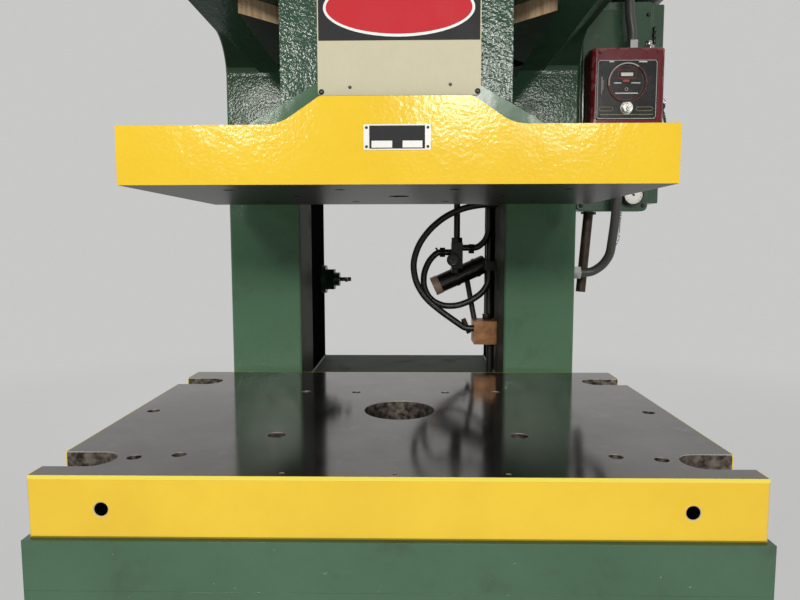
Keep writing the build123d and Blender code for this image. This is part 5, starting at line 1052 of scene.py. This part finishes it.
def control_panel_marks():
    """Borders, rings and bare fields on the control panel's sunk face."""
    face = Face("control_panel", 3)
    rim_lift = 3.1
    marks = {
        "white": [
            face.outline(2, 144, 2.5, 140.5, 1.4, 6),
            face.patch(29, 40, 136, 139), face.patch(100, 120, 135.5, 138.5),
            face.patch(11.8, 12.6, 62, 102), face.patch(14.6, 15.2, 70, 94),
        ],
        "silver": [
            face.ring(73, 88, 45, 3.2, 55, 190, rim_lift), face.ring(71.8, 72.4, 3.5, 1.2),
            face.patch(58, 87, 103.5, 111.5), face.patch(45, 100, 61.5, 64),
            face.patch(41, 59, 86, 88.2), face.patch(83, 105, 86, 88.2),
        ],
        "red": [
            face.ring(73, 88, 46.6, 0.9, lift=rim_lift), face.ring(73, 88, 40.5, 0.9),
            face.outline(50.6, 93.9, 98, 117.7, 1.1, 2), face.patch(63.6, 78.4, 89.5, 94.9),
        ],
        "olive": [
            face.outline(7, 40, 21, 30, 1.1, 4), face.outline(97, 136.5, 21, 30, 1.1, 4),
            face.patch(9, 137, 11.6, 12.6),
        ],
    }
    for colour, pieces in marks.items():
        finish = "line_red" if colour == "red" else colour
        hand_over(pieces, "panel_" + colour + "_marks", finish)
    screws = face.screws((6.5, 139.5), (7.5, 135.5), 2.6, 1.3)
    fasten(screws, "panel_screws")
    collar = washer(face.at(73, 27.5), "-Y", 12.2, 15.5, 1.6)
    hand_over([collar], "key_collar", "chrome")


def keys():
    """A bunch of dark keys on a split ring, hung from a pin on the box's right side."""
    side_x = box_mm("control_box")[1].x
    pin_y = 110
    pin_z = 1606
    pin = drum((side_x - 1, pin_y, pin_z), "X", 2.5, 9, 0.6, 16)
    ring = hoop((side_x + 5, pin_y, pin_z - 10), "Y", 11, 0.8)
    hand_over([pin, ring], "key_ring", "chrome")
    bunch = []
    for index, (lean, reach) in enumerate(((-14, 46), (4, 52), (20, 42))):
        bow = drum((0, 0, 0), "Y", 9, 2, 0.5, 24)
        shank = slab((-3, 0, -reach), (3, 2, -6), 0.4)
        teeth = [slab((2, 0, -z), (4.6, 2, 3 - z), 0.3) for z in (20, 27, 34)]
        key = join([bow, shank, *teeth])
        key.rotation_euler = (0, math.radians(lean), 0)
        key.location = mm(side_x + 5, pin_y - 5 + 5 * index, pin_z - 20)
        settle(key)
        bunch.append(key)
    hand_over(bunch, "keys", "black_oily")


def box_fittings():
    """Glands on the control box's top and screws at its corners."""
    top = box_mm("control_box")[1].z
    glands = [
        washer((486, 128, top), "Z", 13, 20, 6),
        hexagon((609, 106, top), "Z", 24, 11),
        drum((609, 106, top + 11), "Z", 8, 12, 1, 24),
    ]
    hand_over(glands, "box_glands", "chrome")
    screws = Face("control_box").screws((19, 159), (12, 187), 3.2, 1.8)
    fasten(screws, "box_screws")


def lid_parts():
    """Raised doors on the enclosure lids, with captive screws, hinges and a bead chain."""
    face = Face("enclosure_lids")
    rise = 4
    doors = [slab(face.at(6, z0, rise), face.at(177, z1, -1), 2.4, 3) for z0, z1 in ((80, 502), (566, 830))]
    # The doors take the enclosures' darker green, which is painted shade
    hand_over(doors, "lid_doors", "shaded_case_green")
    screws = face.screws((14, 169), (90, 490, 576, 820), 5.5, 4, rise) + face.screws((12, 172), (14,), 5.5, 4)
    fasten(screws, "lid_screws")
    hinges = [
        drum(face.at(186, z + lift, 3), "Z", 4.5, 12, 0.8, 20)
        for z in (140, 440, 610, 780) for lift in (-20, -6, 8)
    ]
    fasten(hinges, "lid_hinges")
    beads = even_line([(566, 140, 1330), (563, 140, 1290), (562, 140, 1257), (552, 140, 1237)], 6)
    bpy.ops.mesh.primitive_uv_sphere_add(segments=12, ring_count=8, radius=2.1 * MM, location=(0, 0, 0))
    bead = bpy.context.active_object
    bpy.ops.object.shade_smooth()
    hand_over([pattern(bead, beads), wire(beads, 0.7)], "bead_chain", "chrome")


def dial_mark(centre, radius, degrees, start, end, thickness):
    """A straight mark on a dial between two shares of its radius."""
    away = toward(degrees) * radius
    return wire([centre + away * start, centre + away * end], thickness, 6)


def gauge_dials():
    """Dials with ticks, a needle and a rim on both pressure gauges."""
    low, high = box_mm("pressure_gauges")
    for name, centre, radius, finish in (
        ("lid_gauge", (high.x - 26, low.y + 3, high.z - 26), 23.4, "white"),
        ("valve_gauge", (low.x + 18, 281, 1200.7), 16.2, "conduit"),
    ):
        centre = Vector(centre)
        hand_over([drum(centre, "-Y", radius - 0.3, 0.4, 0.1, 40)], name + "_dial", finish)
        printed = centre - Vector((0, 0.4, 0))
        raised = centre - Vector((0, 1, 0))
        marks = [dial_mark(printed, radius, 225 - 27 * step, 0.72, 0.88, 0.5) for step in range(11)]
        marks.append(dial_mark(raised, radius, 150, -0.2, 0.7, 0.6))
        marks.append(drum(raised, "-Y", radius * 0.12, 0.8, 0.2, 20))
        hand_over(marks, name + "_marks", "sign_black")
        rim = hoop(centre - Vector((0, 2.6, 0)), "Y", radius + 1.2, 1.1)
        hand_over([rim], name + "_rim", "black_oily")


def air_parts():
    """Collars, clamps, the muffler's pale end, prongs and the filter's cap."""
    start = Vector((92.1, 374, 1119))
    along = (Vector((247, 374, 1189)) - start).normalized()
    cap = [
        washer(start - along * 2.4, along, 9, 28.4, 26, 48),
        drum(start - along * 1.2, along, 10, 3, 0.8, 24),
    ]
    hand_over(cap, "muffler_end", "beige")
    low, high = box_mm("air_valve")
    x, y, z = middle_mm("air_valve")
    collars = [
        hexagon((244, 318, 1027), "Z", 24, 16),
        hexagon((x, y, high.z), "Z", 30, 14),
        hexagon((x, y, low.z - 14), "Z", 30, 14),
        hexagon((low.x, y, z + 9), "-X", 27, 15),
        hexagon((high.x, y, z + 19), "X", 27, 15),
    ]
    collars += [washer(start + along * reach, along, 26, 29, 9, 48) for reach in (66, 132)]
    hand_over(collars, "air_collars", "black_oily")
    prongs = wire([(94.6, 310, 1234.7), (109, 310, 1214.5)], 3, 12)
    stub = wire([(174, 300, 1030), (191.5, 300, 989)], 7, 16)
    hand_over([prongs, stub], "air_stubs", "rust")


def welds():
    """Fillet beads where the frame's plates meet, alike on the left and right."""
    low, high = box_mm("right_side_frame")
    shelf_top = box_mm("rear_shelf")[1].z - 0.5
    runs = [
        (low.x, (140, shelf_top), (575, shelf_top), 5),
        (low.x, (low.y, 150), (low.y, 735), 5),
        (low.x, (high.y, 310), (high.y, 860), 5),
        (low.x, (high.y, 1870), (high.y, 2390), 5),
        (high.x, (-400, high.z), (450, high.z), 5),
        (high.x, (133, 560), (133, 735), 5),
    ]
    for x in (low.x, high.x):
        runs.append((x, (-588, low.z), (-392, low.z), 6))
        runs.append((x, (392, low.z), (578, low.z), 6))
    beads = [
        weld((side * x, *start), (side * x, *end), radius)
        for side in (-1, 1) for x, start, end, radius in runs
    ]
    hand_over(beads, "frame_welds", "green")


def bolt_ring(x, radius, count, across, height, start, axis):
    """Hexagon heads round the crankshaft's axis on a face that looks sideways."""
    centre = middle_mm("flywheel")
    heads = []
    for index in range(count):
        angle = start + TURN * index / count
        place = (x, centre.y + radius * math.cos(angle), centre.z + radius * math.sin(angle))
        heads.append(hexagon(place, axis, across, height, 0.8))
    return heads


def crown_parts():
    """Bolts, vents, tie rods and screws of the covers, motor and cylinders."""
    brake_side = box_mm("brake_cover")[1].x
    heads = bolt_ring(box_mm("guard_face")[0].x, 478, 14, 16, 9, 0.1, "-X")
    heads += bolt_ring(brake_side, 216, 8, 15, 8, 0.39, "X")
    cover_front = box_mm("crown_cover")[0].y
    heads += [
        hexagon((x, cover_front, z), "-Y", 17, 9)
        for x in (-425, -140, 140, 425) for z in (2115, 2390)
    ]
    fasten(heads, "cover_bolts")
    low, high = box_mm("counterbalance_cylinders")
    rod_foot = low.z + 16
    tie_rods = []
    for x, y in ((185, -390), (-185, -130)):
        tie_rods.append(hexagon((x, y, high.z), "Z", 30, 14))
        for rod_x in (x - 66, x + 66):
            for rod_y in (y - 66, y + 66):
                tie_rods.append(drum((rod_x, rod_y, rod_foot), "Z", 6, 214, 0.5, 20))
                tie_rods.append(hexagon((rod_x, rod_y, high.z), "Z", 19, 11))
    hand_over(tie_rods, "cylinder_tie_rods", "steel")
    # Painted shade: black bars on the brake cover stand in for the shade inside its vent slots
    vents = [
        slab((brake_side - 0.6, y, 2170), (brake_side + 1.2, y + 10, 2330), 0.6)
        for y in range(-360, -159, 25)
    ]
    motor_end = box_mm("motor")[1]
    shaft = middle_mm("motor_shaft")
    fan_centre = (motor_end.x + 0.5, shaft.y, shaft.z)
    vents += [hoop(fan_centre, "X", radius, 1.6) for radius in range(28, 109, 20)]
    hand_over(vents, "vent_rings_and_slot_shade", "black_gloss")
    screws = [screw_head((x, y, motor_end.z), "Z", 4.5, 3) for x in (-309, -199) for y in (735, 825)]
    fasten(screws, "terminal_screws")


sign()
data_plate()
control_panel_marks()
keys()
box_fittings()
lid_parts()
gauge_dials()
air_parts()
welds()
crown_parts()


# Floor, light and camera

BACKDROP = (0.58, 0.58, 0.57)
WARM = (1, 0.98, 0.93)
LAMP_AIM = Vector((0, 0, 1.3))


def stage():
    """Pale floor that fades into the backdrop, soft lamps and a plain world."""
    bpy.ops.mesh.primitive_plane_add(size=80, location=(0, 0, 0))
    floor = bpy.context.active_object
    floor.name = "floor"
    finish, g, shader, place = new_material("pale_floor")
    distance = g.add("ShaderNodeVectorMath", {0: place}, operation="LENGTH").outputs["Value"]
    far = g.span(distance, 1.5, 6)
    g.set(shader, {
        "Roughness": 0.8,
        "Base Color": g.mix(far, (0.50, 0.50, 0.49), (0, 0, 0)),
        "Emission Color": BACKDROP,
        "Emission Strength": g.span(far, 0, 1, 0.42, 1),
        "Specular IOR Level": g.span(far, 0, 1, 0.3, 0),
    })
    floor.data.materials.append(finish)
    world = bpy.data.worlds.new("soft_world")
    scene.world = world
    world.use_nodes = True
    world.node_tree.nodes.clear()
    g = Graph(world.node_tree)
    path = g.add("ShaderNodeLightPath").outputs
    seen = g.either(path["Is Camera Ray"], path["Is Glossy Ray"], path["Is Transmission Ray"])
    fill = g.add("ShaderNodeBackground", {"Color": (0.92, 0.96, 1), "Strength": 0.22})
    backdrop = g.add("ShaderNodeBackground", {"Color": BACKDROP, "Strength": 1})
    blend = g.add("ShaderNodeMixShader", {0: seen, 1: fill.outputs[0], 2: backdrop.outputs[0]})
    g.add("ShaderNodeOutputWorld", {"Surface": blend.outputs[0]})
    for name, place, size, power, colour, mirrored in (
        ("front right", (0.36, -3.9, 2.35), 0.5, 38, WARM, True),
        ("front left", (-1.22, -3.9, 2.35), 0.5, 38, WARM, True),
        ("front far", (1.10, -3.9, 2.25), 0.4, 20, WARM, True),
        ("left", (-3.6, -2.2, 3), 2, 24, (0.93, 0.97, 1), False),
        ("right", (3.8, -1.2, 2.4), 2, 24, (1, 0.98, 0.95), False),
        ("back", (-0.8, 4.2, 3.6), 2.6, 80, (0.95, 0.98, 1), False),
    ):
        lamp = bpy.data.lights.new(name, "AREA")
        lamp.size = size
        lamp.energy = power
        lamp.color = colour
        holder = bpy.data.objects.new(name, lamp)
        scene.collection.objects.link(holder)
        holder.location = place
        holder.visible_glossy = mirrored
        holder.rotation_euler = (LAMP_AIM - Vector(place)).to_track_quat("-Z", "Y").to_euler()


def photo_camera():
    """Camera at the photograph's place and angle."""
    lens = bpy.data.cameras.new("photo_camera")
    lens.lens = CAMERA_LENS
    lens.sensor_width = 36
    lens.clip_start = 0.05
    lens.clip_end = 90
    holder = bpy.data.objects.new("photo_camera", lens)
    scene.collection.objects.link(holder)
    yaw = math.radians(CAMERA_YAW)
    pitch = math.radians(CAMERA_PITCH)
    forward = Vector((math.sin(yaw) * math.cos(pitch), math.cos(yaw) * math.cos(pitch), math.sin(pitch)))
    roll = Matrix.Rotation(-math.radians(CAMERA_ROLL), 4, "Z").to_quaternion()
    holder.rotation_euler = (forward.to_track_quat("-Z", "Y") @ roll).to_euler()
    holder.location = CAMERA_PLACE
    scene.camera = holder


stage()
photo_camera()
